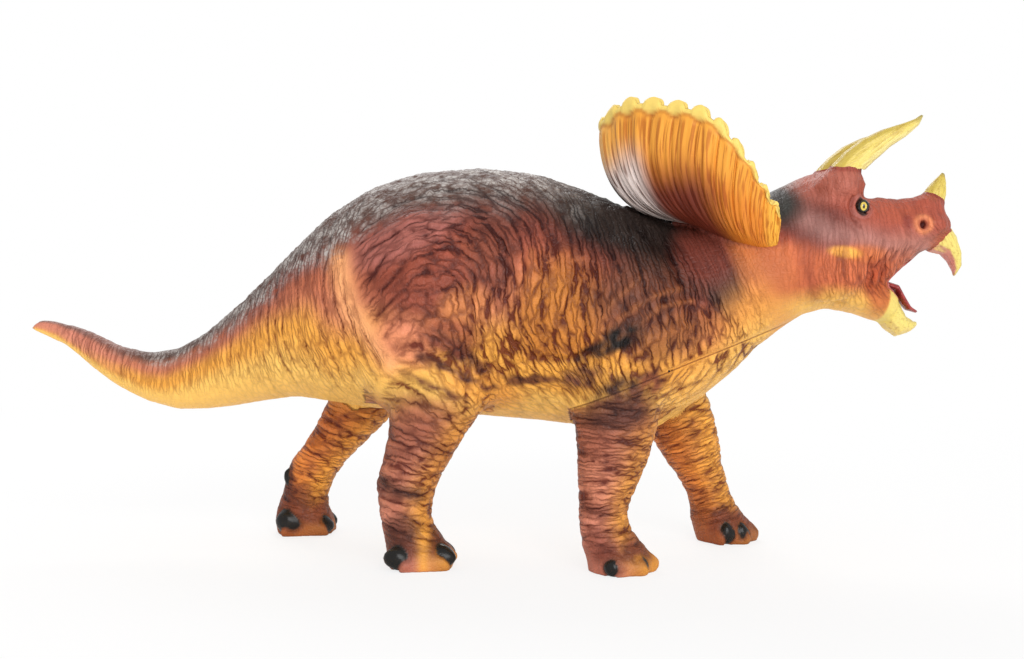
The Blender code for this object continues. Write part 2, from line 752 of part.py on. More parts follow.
def head_forms():
    """The rolls and balls that the head is modelled from."""
    forms = [
        loft("skull", trunk_rings(0, from_row=8) + neck_rings(0) + head_rings(SKULL_SHARES)),
        loft("jaw", head_rings(JAW_SHARES)),
    ]
    pads = (
        ("brow", BROW_SHARES, BROW_PAD_SHARES, BROW_TILT),
        ("lid", LID_SHARES, LID_PAD_SHARES, 0),
        ("cheek", CHEEK_SHARES, CHEEK_PAD_SHARES, CHEEK_TILT),
        ("nostril", NOSTRIL_SHARES, NOSTRIL_PAD_SHARES, 0),
        ("nose", NOSE_SHARES, NOSE_PAD_SHARES, 0),
    )
    for name, place_shares, pad_shares, tilt in pads:
        size = [a * b for a, b in zip(pad_shares, (HEAD_LENGTH, HEAD_WIDTH, HEAD_DEPTH))]
        for side in (-1, 1):
            forms.append(ball(name, turned(head_spot(place_shares, side)), size, tilt))
    return forms


def joint_band(point, tilt, start, end, reach):
    """A side-view band across a leaning joint, from one distance ahead of it to another."""
    lean = Vector((-sin(radians(tilt)), 0, cos(radians(tilt))))
    out = Vector((cos(radians(tilt)), 0, sin(radians(tilt))))
    high = point + lean * reach
    low = point - lean * reach
    return [low + out * start, high + out * start, high + out * end, low + out * end]


def whole_width(name, outline):
    """A cutter with a side-view outline, wider than the figure."""
    return prism(name, outline, -REACH, REACH)


def leg_cutter(leg, gap):
    """The space that a leg fills, outside the keel and below its joint with the trunk."""
    inner = KEEL_WIDTH / 2 + WALL - gap
    low_y, high_y = (inner, REACH) if leg.side > 0 else (-REACH, -inner)
    return prism(leg.name + "_space", widened(leg.outline, gap) if gap else leg.outline, low_y, high_y)


def leg_peg(leg, allowance):
    """The oval peg on top of a leg, or with an allowance the socket that takes it."""
    place, rise = PEG_SHARES[leg.name]
    x = leg.top_x + leg.height * place
    top = leg.height * rise if rise else seam_height(x)
    y = leg.side * (HIP_SPREAD / 2 + PEG_WIDTH * PEG_SHIFT_SHARE)
    start = Vector((x, y, top - PEG_LENGTH / 2))
    end = Vector((x, y, top + PEG_LENGTH + allowance))
    return rod("peg", start, end, PEG_WIDTH + 2 * allowance, PEG_DEPTH + 2 * allowance)


def plug_form(name, band):
    """A block that fits the hollow with a gap, kept inside a side-view band."""
    plug = hollow_form(name, GAP)
    slab = whole_width("slab", band)
    carve(plug, slab, "INTERSECT")
    discard(slab)
    return plug


def leg_pieces(body, legs):
    """The four legs, each cut from the body and given a peg on top."""
    made = []
    for leg in legs:
        piece = copy_of(body, leg.name)
        space = leg_cutter(leg, 0)
        peg = leg_peg(leg, 0)
        carve(piece, space, "INTERSECT")
        carve(piece, peg, "UNION")
        discard(space, peg)
        made.append(piece)
    return made


def tail_piece(body, outline):
    """The hollow tail with the plug that pushes into the back shell."""
    tail = copy_of(body, "tail")
    space = whole_width("tail_space", outline)
    plug = plug_form("plug", joint_band(TAIL_JOINT, TAIL_TILT, -LIP_ROOT, LIP_LENGTH, REACH))
    core = hollow_form("core", GAP + LIP_WALL)
    deep = WALL + 2 * GAP + LIP_WALL
    air = loft("tail_air", tail_rings(WALL, TAIL_AIR_ROW) + trunk_rings(deep)[:1], AIR_SIDES)
    carve(tail, space, "INTERSECT")
    carve(tail, plug, "UNION")
    carve(tail, core)
    carve(tail, air)
    discard(space, plug, core, air)
    return tail


def chest_piece(body, outline, head_space):
    """The chest shell with the lip that pushes up inside the back shell."""
    chest = copy_of(body, "chest_shell")
    space = whole_width("chest_space", outline)
    plug = plug_form("plug", seam_outline(-LIP_ROOT, LIP_LENGTH, CHEST_LIP_REAR_SHARE))
    core = hollow_form("core", GAP + LIP_WALL)
    carve(chest, space, "INTERSECT")
    carve(chest, plug, "UNION")
    carve(chest, core)
    carve(chest, head_space)
    discard(space, plug, core)
    return chest


def trunk_pieces(body, legs):
    """Cuts the sculpted body at its joints into legs, tail, chest shell and back shell."""
    tail_outline = half_plane(TAIL_JOINT, TAIL_TILT, -1, REACH)
    head_outline = half_plane(NECK_JOINT, NECK_TILT, 1, REACH)
    rear = along(CHEST_REAR_SHARE)
    chest_outline = [
        side_point(rear, seam_height(rear)), side_point(rear, -OVERRUN),
        side_point(rear + REACH, -OVERRUN), side_point(rear + REACH, seam_height(rear + REACH)),
    ]
    head_space = whole_width("head_space", widened(head_outline, GAP))
    back = copy_of(body, "back_shell")
    legs_made = leg_pieces(body, legs)
    for leg in legs:
        space = leg_cutter(leg, GAP)
        carve(body, space)
        discard(space)
    tail = tail_piece(body, tail_outline)
    chest = chest_piece(body, chest_outline, head_space)
    cuts = [hollow_form("back_air", 0), whole_width("tail_cut", widened(tail_outline, GAP)), head_space,
            whole_width("chest_cut", widened(chest_outline, GAP))]
    cuts += [leg_cutter(leg, GAP) for leg in legs if leg.hind]
    cuts += [leg_peg(leg, GAP) for leg in legs]
    for cut in cuts:
        carve(back, cut)
    discard(body, *cuts)
    return legs_made + [tail, chest, back]


def mouth_rings(inset, rows):
    """Rings of the mouth's hollow, with one more ahead of the lips so that a cut runs out."""
    shares = MOUTH_SHARES[rows]
    top_x, top_z, low_x, low_z, wide = shares[-1]
    ahead = (top_x + MOUTH_RUNOUT_SHARE, top_z, low_x + MOUTH_RUNOUT_SHARE, low_z, wide)
    return head_rings(shares + [ahead], inset, 0)


def pegged(name, rings, snug, head, peg_length):
    """A horn or a beak that sits on the head's skin and is pinned into it by an oval peg."""
    piece = loft(name, rings, HORN_SIDES)
    carve(piece, snug)
    axis = (rings[2][0] - rings[0][0]).normalized()
    start = rings[2][0]
    end = rings[1][0] - axis * peg_length
    peg = rod("peg", start, end, HORN_PEG_WIDTH, HORN_PEG_DEPTH)
    socket = rod("socket", start, end - axis * GAP, HORN_PEG_WIDTH + 2 * GAP, HORN_PEG_DEPTH + 2 * GAP)
    carve(piece, peg, "UNION")
    carve(head, socket)
    discard(peg, socket)
    return piece


def head_pieces():
    """The hollow head shell and everything that is set into it."""
    skin = skin_over("head_skin", head_forms(), HEAD_GRAIN, HEAD_TRIANGLES, HEAD_RUBS)
    snug = grown(skin, "snug", GAP)
    head = copy_of(skin, "head_shell")
    ahead = whole_width("ahead", half_plane(NECK_JOINT, NECK_TILT, 1, REACH))
    carve(head, ahead, "INTERSECT")
    deep = WALL + GAP + LIP_WALL
    skull_air = loft("skull_air", trunk_rings(deep, from_row=9) + neck_rings(deep)
                     + head_rings(SKULL_SHARES[:2], SKULL_WALL), AIR_SIDES)
    mouth = loft("mouth", mouth_rings(0, slice(0, None)), AIR_SIDES)
    groove = frill_sheet("groove", FRILL_THICKNESS + 2 * FRILL_GAP, GROOVE_ROW_SHARES, GROOVE_COLUMNS,
                         GROOVE_STRETCH_SHARE)
    plug = plug_form("plug", joint_band(NECK_JOINT, NECK_TILT, -LIP_LENGTH, LIP_ROOT, REACH))
    chest_lip = whole_width("chest_lip", widened(seam_outline(-REACH, LIP_LENGTH, 0), GAP))
    carve(plug, chest_lip)
    carve(head, plug, "UNION")
    for cut in (skull_air, mouth, groove):
        carve(head, cut)
    discard(ahead, skull_air, mouth, groove, plug, chest_lip)

    frill = frill_sheet("frill", FRILL_THICKNESS, FRILL_ROW_SHARES, SCALLOP_COLUMNS, 1)

    made = []
    for side, word in ((-1, "right"), (1, "left")):
        swing = side * BROW_HORN_LENGTH * BROW_HORN_SPLAY_SHARE
        rings = bent_rings(head_spot(BROW_HORN_ROOT_SHARES, side), BROW_HORN_SHARES, BROW_HORN_LENGTH,
                           BROW_HORN_WIDTH, BROW_HORN_WIDTH, swing)
        made.append(pegged("brow_horn_" + word, rings, snug, head, HORN_PEG_LENGTH))
        spot = turned(head_spot(EYE_SHARES, side))
        made.append(ball("eye_" + word, spot, (EYE_DIAMETER,) * 3, detail=2))
        socket = ball("socket", spot, (EYE_DIAMETER + 2 * GAP,) * 3, detail=2)
        carve(head, socket)
        discard(socket)
    rings = bent_rings(head_spot(NOSE_HORN_ROOT_SHARES), NOSE_HORN_SHARES, NOSE_HORN_LENGTH,
                       NOSE_HORN_WIDTH, NOSE_HORN_WIDTH)
    made.append(pegged("nose_horn", rings, snug, head, HORN_PEG_LENGTH))
    rings = paired_rings(UPPER_BEAK_ROOT_SHARES, UPPER_BEAK_SHARES, UPPER_BEAK_DROP, UPPER_BEAK_WIDTH)
    made.append(pegged("upper_beak", rings, snug, head, BEAK_PEG_LENGTH))
    rings = paired_rings(LOWER_BEAK_ROOT_SHARES, LOWER_BEAK_SHARES, LOWER_BEAK_DROP, LOWER_BEAK_WIDTH)
    beak = pegged("lower_beak", rings, snug, head, BEAK_PEG_LENGTH)

    lining = loft("mouth_lining", mouth_rings(GAP, slice(1, None)), AIR_SIDES)
    throat = loft("throat", mouth_rings(GAP + LINING_WALL, slice(2, None)), AIR_SIDES)
    carve(lining, throat)
    carve(lining, skin, "INTERSECT")

    rings = bent_rings(head_spot(TONGUE_ROOT_SHARES), TONGUE_SHARES, TONGUE_LENGTH,
                       TONGUE_WIDTH, TONGUE_THICKNESS)
    tongue = loft("tongue", rings, HORN_SIDES)
    beak_room = grown(beak, "beak_room", GAP)
    carve(lining, beak_room)
    lining_room = grown(lining, "lining_room", GAP)
    carve(tongue, lining_room)
    carve(tongue, beak_room)
    discard(throat, skin, snug, beak_room, lining_room)
    return made + [head, frill, beak, lining, tongue]


def centre_figure(pieces):
    """Hangs every piece on one empty, placed so that the figure stands over the origin."""
    corners = [vert.co for piece in pieces for vert in piece.data.vertices]
    low_x, high_x = min(c.x for c in corners), max(c.x for c in corners)
    low_y, high_y = min(c.y for c in corners), max(c.y for c in corners)
    figure = bpy.data.objects.new("figure", None)
    bpy.context.collection.objects.link(figure)
    figure.location = (-(low_x + high_x) / 2, -(low_y + high_y) / 2, 0)
    for piece in pieces:
        piece.parent = figure


# Vinyl colours and roughness of each moulding
SKIN_BROWN = (0.32, 0.10, 0.06)
SKIN_ORANGE = (0.78, 0.33, 0.07)
HORN_YELLOW = (0.82, 0.72, 0.25)
MOUTH_PINK = (0.62, 0.16, 0.14)
FINISHES = {
    "back_shell": (SKIN_BROWN, 0.45),
    "chest_shell": (SKIN_ORANGE, 0.45),
    "tail": ((0.60, 0.24, 0.10), 0.45),
    "hind_leg_right": ((0.48, 0.17, 0.12), 0.45),
    "hind_leg_left": (SKIN_ORANGE, 0.45),
    "foreleg_right": ((0.52, 0.20, 0.14), 0.45),
    "foreleg_left": (SKIN_ORANGE, 0.45),
    "head_shell": ((0.42, 0.14, 0.10), 0.40),
    "frill": ((0.85, 0.42, 0.06), 0.45),
    "brow_horn_right": (HORN_YELLOW, 0.35),
    "brow_horn_left": (HORN_YELLOW, 0.35),
    "nose_horn": (HORN_YELLOW, 0.35),
    "upper_beak": (HORN_YELLOW, 0.35),
    "lower_beak": (HORN_YELLOW, 0.35),
    "mouth_lining": (MOUTH_PINK, 0.35),
    "tongue": ((0.35, 0.05, 0.05), 0.30),
    "eye_right": ((0.03, 0.02, 0.02), 0.10),
    "eye_left": ((0.03, 0.02, 0.02), 0.10),
}

for leftover in list(bpy.data.objects):
    bpy.data.objects.remove(leftover)

LEGS = [
    Leg("hind_leg_right", HIND_RIGHT_SHARES),
    Leg("hind_leg_left", HIND_LEFT_SHARES),
    Leg("foreleg_right", FORE_RIGHT_SHARES, FORE_RIGHT_TOP_SHARES),
    Leg("foreleg_left", FORE_LEFT_SHARES, FORE_LEFT_TOP_SHARES),
]
BODY = skin_over("body", body_forms(LEGS), BODY_GRAIN, BODY_TRIANGLES, BODY_RUBS)
GROUND = whole_width("ground", [side_point(-REACH, -REACH), side_point(REACH, -REACH),
                                side_point(REACH, 0), side_point(-REACH, 0)])
carve(BODY, GROUND)
discard(GROUND)
PIECES = trunk_pieces(BODY, LEGS) + head_pieces()
for PIECE in PIECES:
    PIECE.data.shade_smooth()
    PIECE.data.set_sharp_from_angle(angle=radians(SHARP_ANGLE))
    colour, roughness = FINISHES[PIECE.name]
    paint(PIECE, colour, roughness)
centre_figure(PIECES)
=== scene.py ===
"""Studio picture of a walking horned dinosaur, a hollow toy figure of painted soft vinyl.

Metres, +Z up, +X towards the beak. The flank that the camera sees is the right one, at -Y.
"""
import bpy
import bmesh
import numpy as np
from math import cos, pi, radians, sin
from mathutils import Matrix, Vector, noise
from mathutils.bvhtree import BVHTree


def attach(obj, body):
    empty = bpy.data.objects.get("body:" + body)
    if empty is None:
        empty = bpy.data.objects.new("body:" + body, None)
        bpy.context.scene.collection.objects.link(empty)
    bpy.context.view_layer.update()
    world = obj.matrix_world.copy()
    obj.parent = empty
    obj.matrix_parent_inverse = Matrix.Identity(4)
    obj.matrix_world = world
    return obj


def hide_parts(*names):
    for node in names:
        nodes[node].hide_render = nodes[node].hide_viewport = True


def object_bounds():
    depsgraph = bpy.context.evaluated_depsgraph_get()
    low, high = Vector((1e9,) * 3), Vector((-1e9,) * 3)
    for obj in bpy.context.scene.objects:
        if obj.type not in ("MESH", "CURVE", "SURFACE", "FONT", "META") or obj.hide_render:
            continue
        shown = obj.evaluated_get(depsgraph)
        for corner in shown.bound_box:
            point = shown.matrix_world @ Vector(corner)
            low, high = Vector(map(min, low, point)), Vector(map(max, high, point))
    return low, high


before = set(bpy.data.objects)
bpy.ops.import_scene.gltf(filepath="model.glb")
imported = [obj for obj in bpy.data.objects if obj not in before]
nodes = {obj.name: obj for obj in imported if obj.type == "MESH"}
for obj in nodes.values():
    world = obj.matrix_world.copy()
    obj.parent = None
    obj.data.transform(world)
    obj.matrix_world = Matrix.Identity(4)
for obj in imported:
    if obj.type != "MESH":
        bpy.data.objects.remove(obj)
cad_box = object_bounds()
scene = bpy.context.scene


# Camera. It stands just before the figure's right flank, a little above its shoulders,
# and looks slightly back and down, so that a sliver of the far legs shows.
CAMERA_DISTANCE = 0.575
CAMERA_HEIGHT = 0.113
CAMERA_YAW = radians(6)
CAMERA_DIP = radians(1.74)
FIGURE_X = -0.0951
AIM_X = FIGURE_X + 0.108

camera = bpy.data.objects.new("camera", bpy.data.cameras.new("camera"))
camera.data.lens = 47.1
camera.data.clip_start = 0.01
camera.location = (
    AIM_X + CAMERA_DISTANCE * sin(CAMERA_YAW), -CAMERA_DISTANCE * cos(CAMERA_YAW), CAMERA_HEIGHT,
)
camera.rotation_euler = (pi / 2 - CAMERA_DIP, 0, CAMERA_YAW)
scene.collection.objects.link(camera)
scene.camera = camera
scene.view_settings.view_transform = "Standard"


# Studio. A white sheet lies under the figure, and the camera sees the room beyond it as
# white. The room itself and two large soft lamps give an even, plain level of light.
class Wire:
    """A node socket that Python's operators can do sums with."""

    def __init__(self, sheet, socket):
        self.sheet, self.socket = sheet, socket

    def sum_with(self, operation, first, second=None):
        values = {0: first} if second is None else {0: first, 1: second}
        return self.sheet.node("ShaderNodeMath", {"operation": operation}, values)

    def __add__(self, other):
        return self.sum_with("ADD", self, other)

    def __sub__(self, other):
        return self.sum_with("SUBTRACT", self, other)

    def __rsub__(self, other):
        return self.sum_with("SUBTRACT", other, self)

    def __mul__(self, other):
        return self.sum_with("MULTIPLY", self, other)

    def __truediv__(self, other):
        return self.sum_with("DIVIDE", self, other)

    def __pow__(self, other):
        return self.sum_with("POWER", self, other)

    __radd__, __rmul__ = __add__, __mul__


class Finish:
    """One painted or moulded finish: a material with a Principled shader."""

    def __init__(self, name, **settings):
        self.material = bpy.data.materials.new(name)
        self.material.use_nodes = True
        self.nodes = self.material.node_tree.nodes
        self.links = self.material.node_tree.links
        self.shader = self.nodes["Principled BSDF"]
        self.output = self.nodes["Material Output"]
        for socket, value in settings.items():
            self.feed(self.shader.inputs[socket.replace("_", " ")], value)

    def feed(self, socket, value):
        if isinstance(value, Wire):
            self.links.new(value.socket, socket)
        elif value is not None:
            socket.default_value = value

    def node(self, kind, settings, values, result=0):
        made = self.nodes.new(kind)
        for name, value in settings.items():
            setattr(made, name, value)
        for name, value in values.items():
            self.feed(made.inputs[name], value)
        return Wire(self, made.outputs[result])

    def place(self):
        return self.node("ShaderNodeTexCoord", {}, {}, "Object")

    def attribute(self, name, result="Fac"):
        return self.node("ShaderNodeAttribute", {"attribute_name": name}, {}, result)

    def axes(self, vector):
        split = self.nodes.new("ShaderNodeSeparateXYZ")
        self.feed(split.inputs[0], vector)
        return [Wire(self, socket) for socket in split.outputs]

    def vector(self, x, y, z):
        return self.node("ShaderNodeCombineXYZ", {}, {0: x, 1: y, 2: z})

    def speckle(self, vector, size, detail=2.0, roughness=0.5):
        values = {"Vector": vector, "Scale": 1 / size, "Detail": detail, "Roughness": roughness}
        return self.node("ShaderNodeTexNoise", {}, values)

    def ramp(self, value, low, high, smooth=True):
        kind = "SMOOTHSTEP" if smooth else "LINEAR"
        values = {"Value": value, "From Min": low, "From Max": high}
        return self.node("ShaderNodeMapRange", {"interpolation_type": kind}, values)

    def mix(self, share, first, second, blend="MIX"):
        made = self.nodes.new("ShaderNodeMix")
        made.data_type, made.blend_type, made.clamp_factor = "RGBA", blend, True
        self.feed(made.inputs[0], share)
        for socket, colour in ((made.inputs[6], first), (made.inputs[7], second)):
            self.feed(socket, colour if isinstance(colour, Wire) else (*colour, 1))
        return Wire(self, made.outputs[2])

    def relief(self, height, depth, before=None):
        values = {"Height": height, "Distance": depth, "Strength": 1.0}
        if before:
            values["Normal"] = before
        return self.node("ShaderNodeBump", {}, values)

    def dress(self, colour, roughness, normal=None):
        self.feed(self.shader.inputs["Base Color"], colour)
        self.feed(self.shader.inputs["Roughness"], roughness)
        self.feed(self.shader.inputs["Normal"], normal)


SHEET_SIZE = 6.0
white = Finish("white_sheet", Base_Color=(0.9, 0.9, 0.9, 1), Roughness=0.9)
glow = white.node("ShaderNodeEmission", {}, {"Color": (1, 1, 1, 1), "Strength": 1.0})
rays = white.nodes.new("ShaderNodeLightPath")
ground = white.place()
away = white.node("ShaderNodeVectorMath", {"operation": "LENGTH"}, {0: ground}, "Value")
faded = white.ramp(away, 0.25, 0.80) * 0.22 + 0.78
seen = Wire(white, rays.outputs["Is Camera Ray"]) * faded
lit = white.node(
    "ShaderNodeMixShader", {}, {0: seen, 1: Wire(white, white.shader.outputs[0]), 2: glow},
)
white.feed(white.output.inputs["Surface"], lit)
sheet = bmesh.new()
bmesh.ops.create_grid(sheet, x_segments=1, y_segments=1, size=SHEET_SIZE / 2)
floor = bpy.data.objects.new("floor", bpy.data.meshes.new("floor"))
sheet.to_mesh(floor.data)
sheet.free()
floor.data.materials.append(white.material)
scene.collection.objects.link(floor)

scene.world = bpy.data.worlds.new("room")
scene.world.use_nodes = True
room = scene.world.node_tree
sky = room.nodes["Background"]
sky.inputs["Color"].default_value = (1, 1, 1, 1)
path = room.nodes.new("ShaderNodeLightPath")
level = room.nodes.new("ShaderNodeMapRange")
level.inputs["To Min"].default_value = 0.68
level.inputs["To Max"].default_value = 1.0
room.links.new(path.outputs["Is Camera Ray"], level.inputs["Value"])
room.links.new(level.outputs[0], sky.inputs["Strength"])


def soft_lamp(name, place, aim, size, power):
    """A large square lamp that hangs in one place and faces another."""
    lamp = bpy.data.objects.new(name, bpy.data.lights.new(name, "AREA"))
    lamp.data.size = size
    lamp.data.energy = power
    lamp.location = place
    lamp.rotation_euler = (Vector(aim) - Vector(place)).to_track_quat("-Z", "Y").to_euler()
    scene.collection.objects.link(lamp)


soft_lamp("front_lamp", (0.50, -1.40, 0.70), (0.0, 0.0, 0.08), 0.9, 14.5)
soft_lamp("back_lamp", (-0.35, 1.05, 1.10), (0.0, 0.0, 0.10), 0.9, 9.0)


# The clay. All skins of the toy are cast from one sculpted model, so their surface is
# worked once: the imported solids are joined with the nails, given a fine grain and rubbed
# smooth. Each moulding is then cut from that skin where its own solid ends.
GROWTH = 0.0003
BODY_GRAIN = 0.00088
HEAD_GRAIN = 0.00067
HEAD_FROM_X = 0.070
NECK_JOINT = Vector((0.0994, 0, 0.1130))
NECK_LEAN = Vector((cos(radians(34)), 0, sin(radians(34))))
BODY_RUBS = 14
HEAD_RUBS = 10
RIM_DEPTH = 0.0015
RIM_RUBS = 6
FINE_REACH = 0.0085
# Nails and the heel spurs: leg, middle from the tail joint, half sizes and turn in degrees
NAILS = [
    ("hind_leg_right", (0.0675, -0.0462, 0.0052), (0.0066, 0.0040, 0.0046), 4),
    ("hind_leg_right", (0.0845, -0.0405, 0.0055), (0.0058, 0.0044, 0.0046), -22),
    ("hind_leg_right", (0.0815, -0.0270, 0.0055), (0.0058, 0.0042, 0.0044), 12),
    ("foreleg_right", (0.1535, -0.0478, 0.0034), (0.0042, 0.0030, 0.0034), 4),
    ("foreleg_right", (0.1625, -0.0425, 0.0046), (0.0046, 0.0038, 0.0036), -24),
    ("foreleg_right", (0.1640, -0.0300, 0.0044), (0.0044, 0.0038, 0.0036), 12),
    ("hind_leg_left", (0.0028, 0.0248, 0.0064), (0.0064, 0.0042, 0.0056), -4),
    ("hind_leg_left", (0.0180, 0.0300, 0.0046), (0.0048, 0.0040, 0.0042), 20),
    ("hind_leg_left", (0.0165, 0.0430, 0.0050), (0.0050, 0.0040, 0.0042), -16),
    ("hind_leg_left", (0.0022, 0.0272, 0.0268), (0.0024, 0.0024, 0.0040), 0),
    ("foreleg_left", (0.2010, 0.0232, 0.0052), (0.0034, 0.0028, 0.0046), -10),
    ("foreleg_left", (0.2078, 0.0268, 0.0050), (0.0034, 0.0030, 0.0042), 16),
    ("foreleg_left", (0.2100, 0.0350, 0.0044), (0.0040, 0.0036, 0.0038), 0),
]
NAIL_TAPER = 0.32
NAIL_DROOP = 0.16
HEELS = [((0.0605, -0.0330, 0.0325), (0.0052, 0.0070, 0.0056))]


def joined_solids(from_x=None):
    """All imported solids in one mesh, or only what lies in front of a place."""
    joined = bmesh.new()
    for name in sorted(nodes):
        joined.from_mesh(nodes[name].data)
    bmesh.ops.remove_doubles(joined, verts=joined.verts, dist=1e-6)
    if from_x is not None:
        bmesh.ops.bisect_plane(
            joined, geom=[*joined.verts, *joined.edges, *joined.faces], dist=1e-7,
            plane_co=(from_x, 0, 0), plane_no=(-1, 0, 0), clear_outer=True,
        )
        rim = [edge for edge in joined.edges if edge.is_boundary]
        bmesh.ops.holes_fill(joined, edges=rim, sides=0)
    return joined


def press_on(joined, place, size, turn=0):
    """Presses an egg of clay on, drawn out to a blunt point in front."""
    stance = Matrix.Translation(Vector(place) + Vector((FIGURE_X, 0, 0)))
    stance @= Matrix.Rotation(radians(turn), 4, "Z") @ Matrix.Diagonal((*size, 1))
    for v in bmesh.ops.create_icosphere(joined, subdivisions=3, radius=1)["verts"]:
        ahead = max(v.co.x, 0)
        thin = 1 - NAIL_TAPER * ahead
        v.co = stance @ Vector((v.co.x, v.co.y * thin, v.co.z * thin - NAIL_DROOP * ahead))


def clay(name, solids, grain, growth=GROWTH):
    """The closed outer surface of solids as one finely grained mesh."""
    mesh = bpy.data.meshes.new(name)
    solids.to_mesh(mesh)
    solids.free()
    block = bpy.data.objects.new(name, mesh)
    scene.collection.objects.link(block)
    if growth:
        swell = block.modifiers.new("Growth", "DISPLACE")
        swell.strength, swell.mid_level = growth, 0
    fine = block.modifiers.new("Grain", "REMESH")
    fine.mode, fine.voxel_size = "VOXEL", grain
    graph = bpy.context.evaluated_depsgraph_get()
    made = bpy.data.meshes.new_from_object(block.evaluated_get(graph))
    bpy.data.objects.remove(block)
    return made


def points_of(mesh):
    points = np.empty(len(mesh.vertices) * 3, np.float32)
    mesh.vertices.foreach_get("co", points)
    return points.reshape(-1, 3).astype(float)


def normals_of(mesh):
    normals = np.empty(len(mesh.vertices) * 3, np.float32)
    mesh.vertex_normals.foreach_get("vector", normals)
    return normals.reshape(-1, 3).astype(float)


def move_points(mesh, points):
    mesh.vertices.foreach_set("co", points.astype(np.float32).ravel())
    mesh.update()


def rub(mesh, times):
    """Rubs the clay smooth without thinning it."""
    edges = np.empty(len(mesh.edges) * 2, np.int32)
    mesh.edges.foreach_get("vertices", edges)
    a, b = edges.reshape(-1, 2).T
    total = len(mesh.vertices)
    count = np.bincount(a, minlength=total) + np.bincount(b, minlength=total)
    points = points_of(mesh)
    for turn in range(times * 2):
        pull = 0.60 if turn % 2 == 0 else -0.62
        near = np.stack([
            np.bincount(a, points[b, i], total) + np.bincount(b, points[a, i], total)
            for i in range(3)
        ], axis=1) / count[:, None]
        points += (near - points) * pull
    move_points(mesh, points)


def refine(mesh, places, reach):
    """Splits the grain once more round small features."""
    fine = bmesh.new()
    fine.from_mesh(mesh)
    edges = [
        edge for edge in fine.edges
        if any(all((v.co - place).length < reach for v in edge.verts) for place in places)
    ]
    bmesh.ops.subdivide_edges(fine, edges=edges, cuts=1, use_grid_fill=True)
    fine.to_mesh(mesh)
    fine.free()


def keep(mesh, name, values, kind="FLOAT"):
    """Stores a value, a place or a colour for each point of the mesh."""
    field = {"FLOAT": "value", "FLOAT_VECTOR": "vector", "FLOAT_COLOR": "color"}[kind]
    stored = mesh.attributes.new(name, kind, "POINT")
    stored.data.foreach_set(field, values.astype(np.float32).ravel())


def ripple(*axes):
    """Smooth noise, from about -1 to 1, at each point."""
    points = np.stack(axes, axis=1)
    return np.fromiter((noise.noise(p) for p in points.tolist()), float, len(points))


def rise(value, low, high):
    """0 below one value, 1 above another, and a smooth rise between them."""
    share = np.clip((value - low) / (high - low), 0, 1)
    return share * share * (3 - 2 * share)


def fall(value, low, high):
    """1 below one value, 0 above another, and a smooth fall between them."""
    return 1 - rise(value, low, high)


def spot(x, z, place, size, tilt=0.0):
    """1 inside an oval seen from the side, fading out at its edge."""
    c, s = cos(radians(tilt)), sin(radians(tilt))
    far, high = x - place[0], z - place[1]
    reach = np.hypot((far * c + high * s) / size[0], (high * c - far * s) / size[1])
    return fall(reach, 0.55, 1.45)


def from_line(x, z, line):
    """The distance from a bent line, seen from the side."""
    nearest = np.full(len(x), 9.0)
    for (ax, az), (bx, bz) in zip(line, line[1:]):
        dx, dz = bx - ax, bz - az
        share = np.clip(((x - ax) * dx + (z - az) * dz) / (dx * dx + dz * dz), 0, 1)
        nearest = np.minimum(nearest, np.hypot(x - ax - share * dx, z - az - share * dz))
    return nearest


def stroke(x, z, line, width):
    """1 along a bent line, seen from the side, fading out over its width."""
    return np.exp(-(from_line(x, z, line) / width) ** 2)


def tree_of(names):
    """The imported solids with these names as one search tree, and the owner of each face."""
    points, faces, owner = [], [], []
    for name in names:
        first = len(points)
        points += [v.co.copy() for v in nodes[name].data.vertices]
        for face in nodes[name].data.polygons:
            faces.append([first + i for i in face.vertices])
            owner.append(name)
    return BVHTree.FromPolygons(points, faces), owner


solids_tree, solid_owner = tree_of(sorted(nodes))
ROOTED = ["brow_horn_right", "brow_horn_left", "nose_horn", "upper_beak", "lower_beak", "frill"]
collar_tree, collar_owner = tree_of(["back_shell", "head_shell"])
COLLAR_HEIGHT = 0.0012


def owners(mesh):
    """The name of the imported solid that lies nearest, for each face and for each point."""
    centres = np.empty(len(mesh.polygons) * 3, np.float32)
    mesh.polygons.foreach_get("center", centres)
    faces = np.array([
        solid_owner[solids_tree.find_nearest(c)[2]] for c in centres.reshape(-1, 3).tolist()
    ])
    for i in np.flatnonzero(np.isin(faces, ROOTED)):
        close = collar_tree.find_nearest(centres.reshape(-1, 3)[i].tolist(), COLLAR_HEIGHT)[2]
        if close is not None:
            faces[i] = collar_owner[close]
    corners = np.empty(len(mesh.loops), np.int32)
    mesh.loops.foreach_get("vertex_index", corners)
    sides = np.empty(len(mesh.polygons), np.int32)
    mesh.polygons.foreach_get("loop_total", sides)
    points = np.empty(len(mesh.vertices), faces.dtype)
    points[corners] = np.repeat(faces, sides)
    return faces, points


def distance_to(names, points, reach):
    """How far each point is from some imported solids, as far as a reach."""
    tree = tree_of(names)[0]
    found = (tree.find_nearest(p, reach)[3] for p in points.tolist())
    return np.array([reach if far is None else far for far in found])


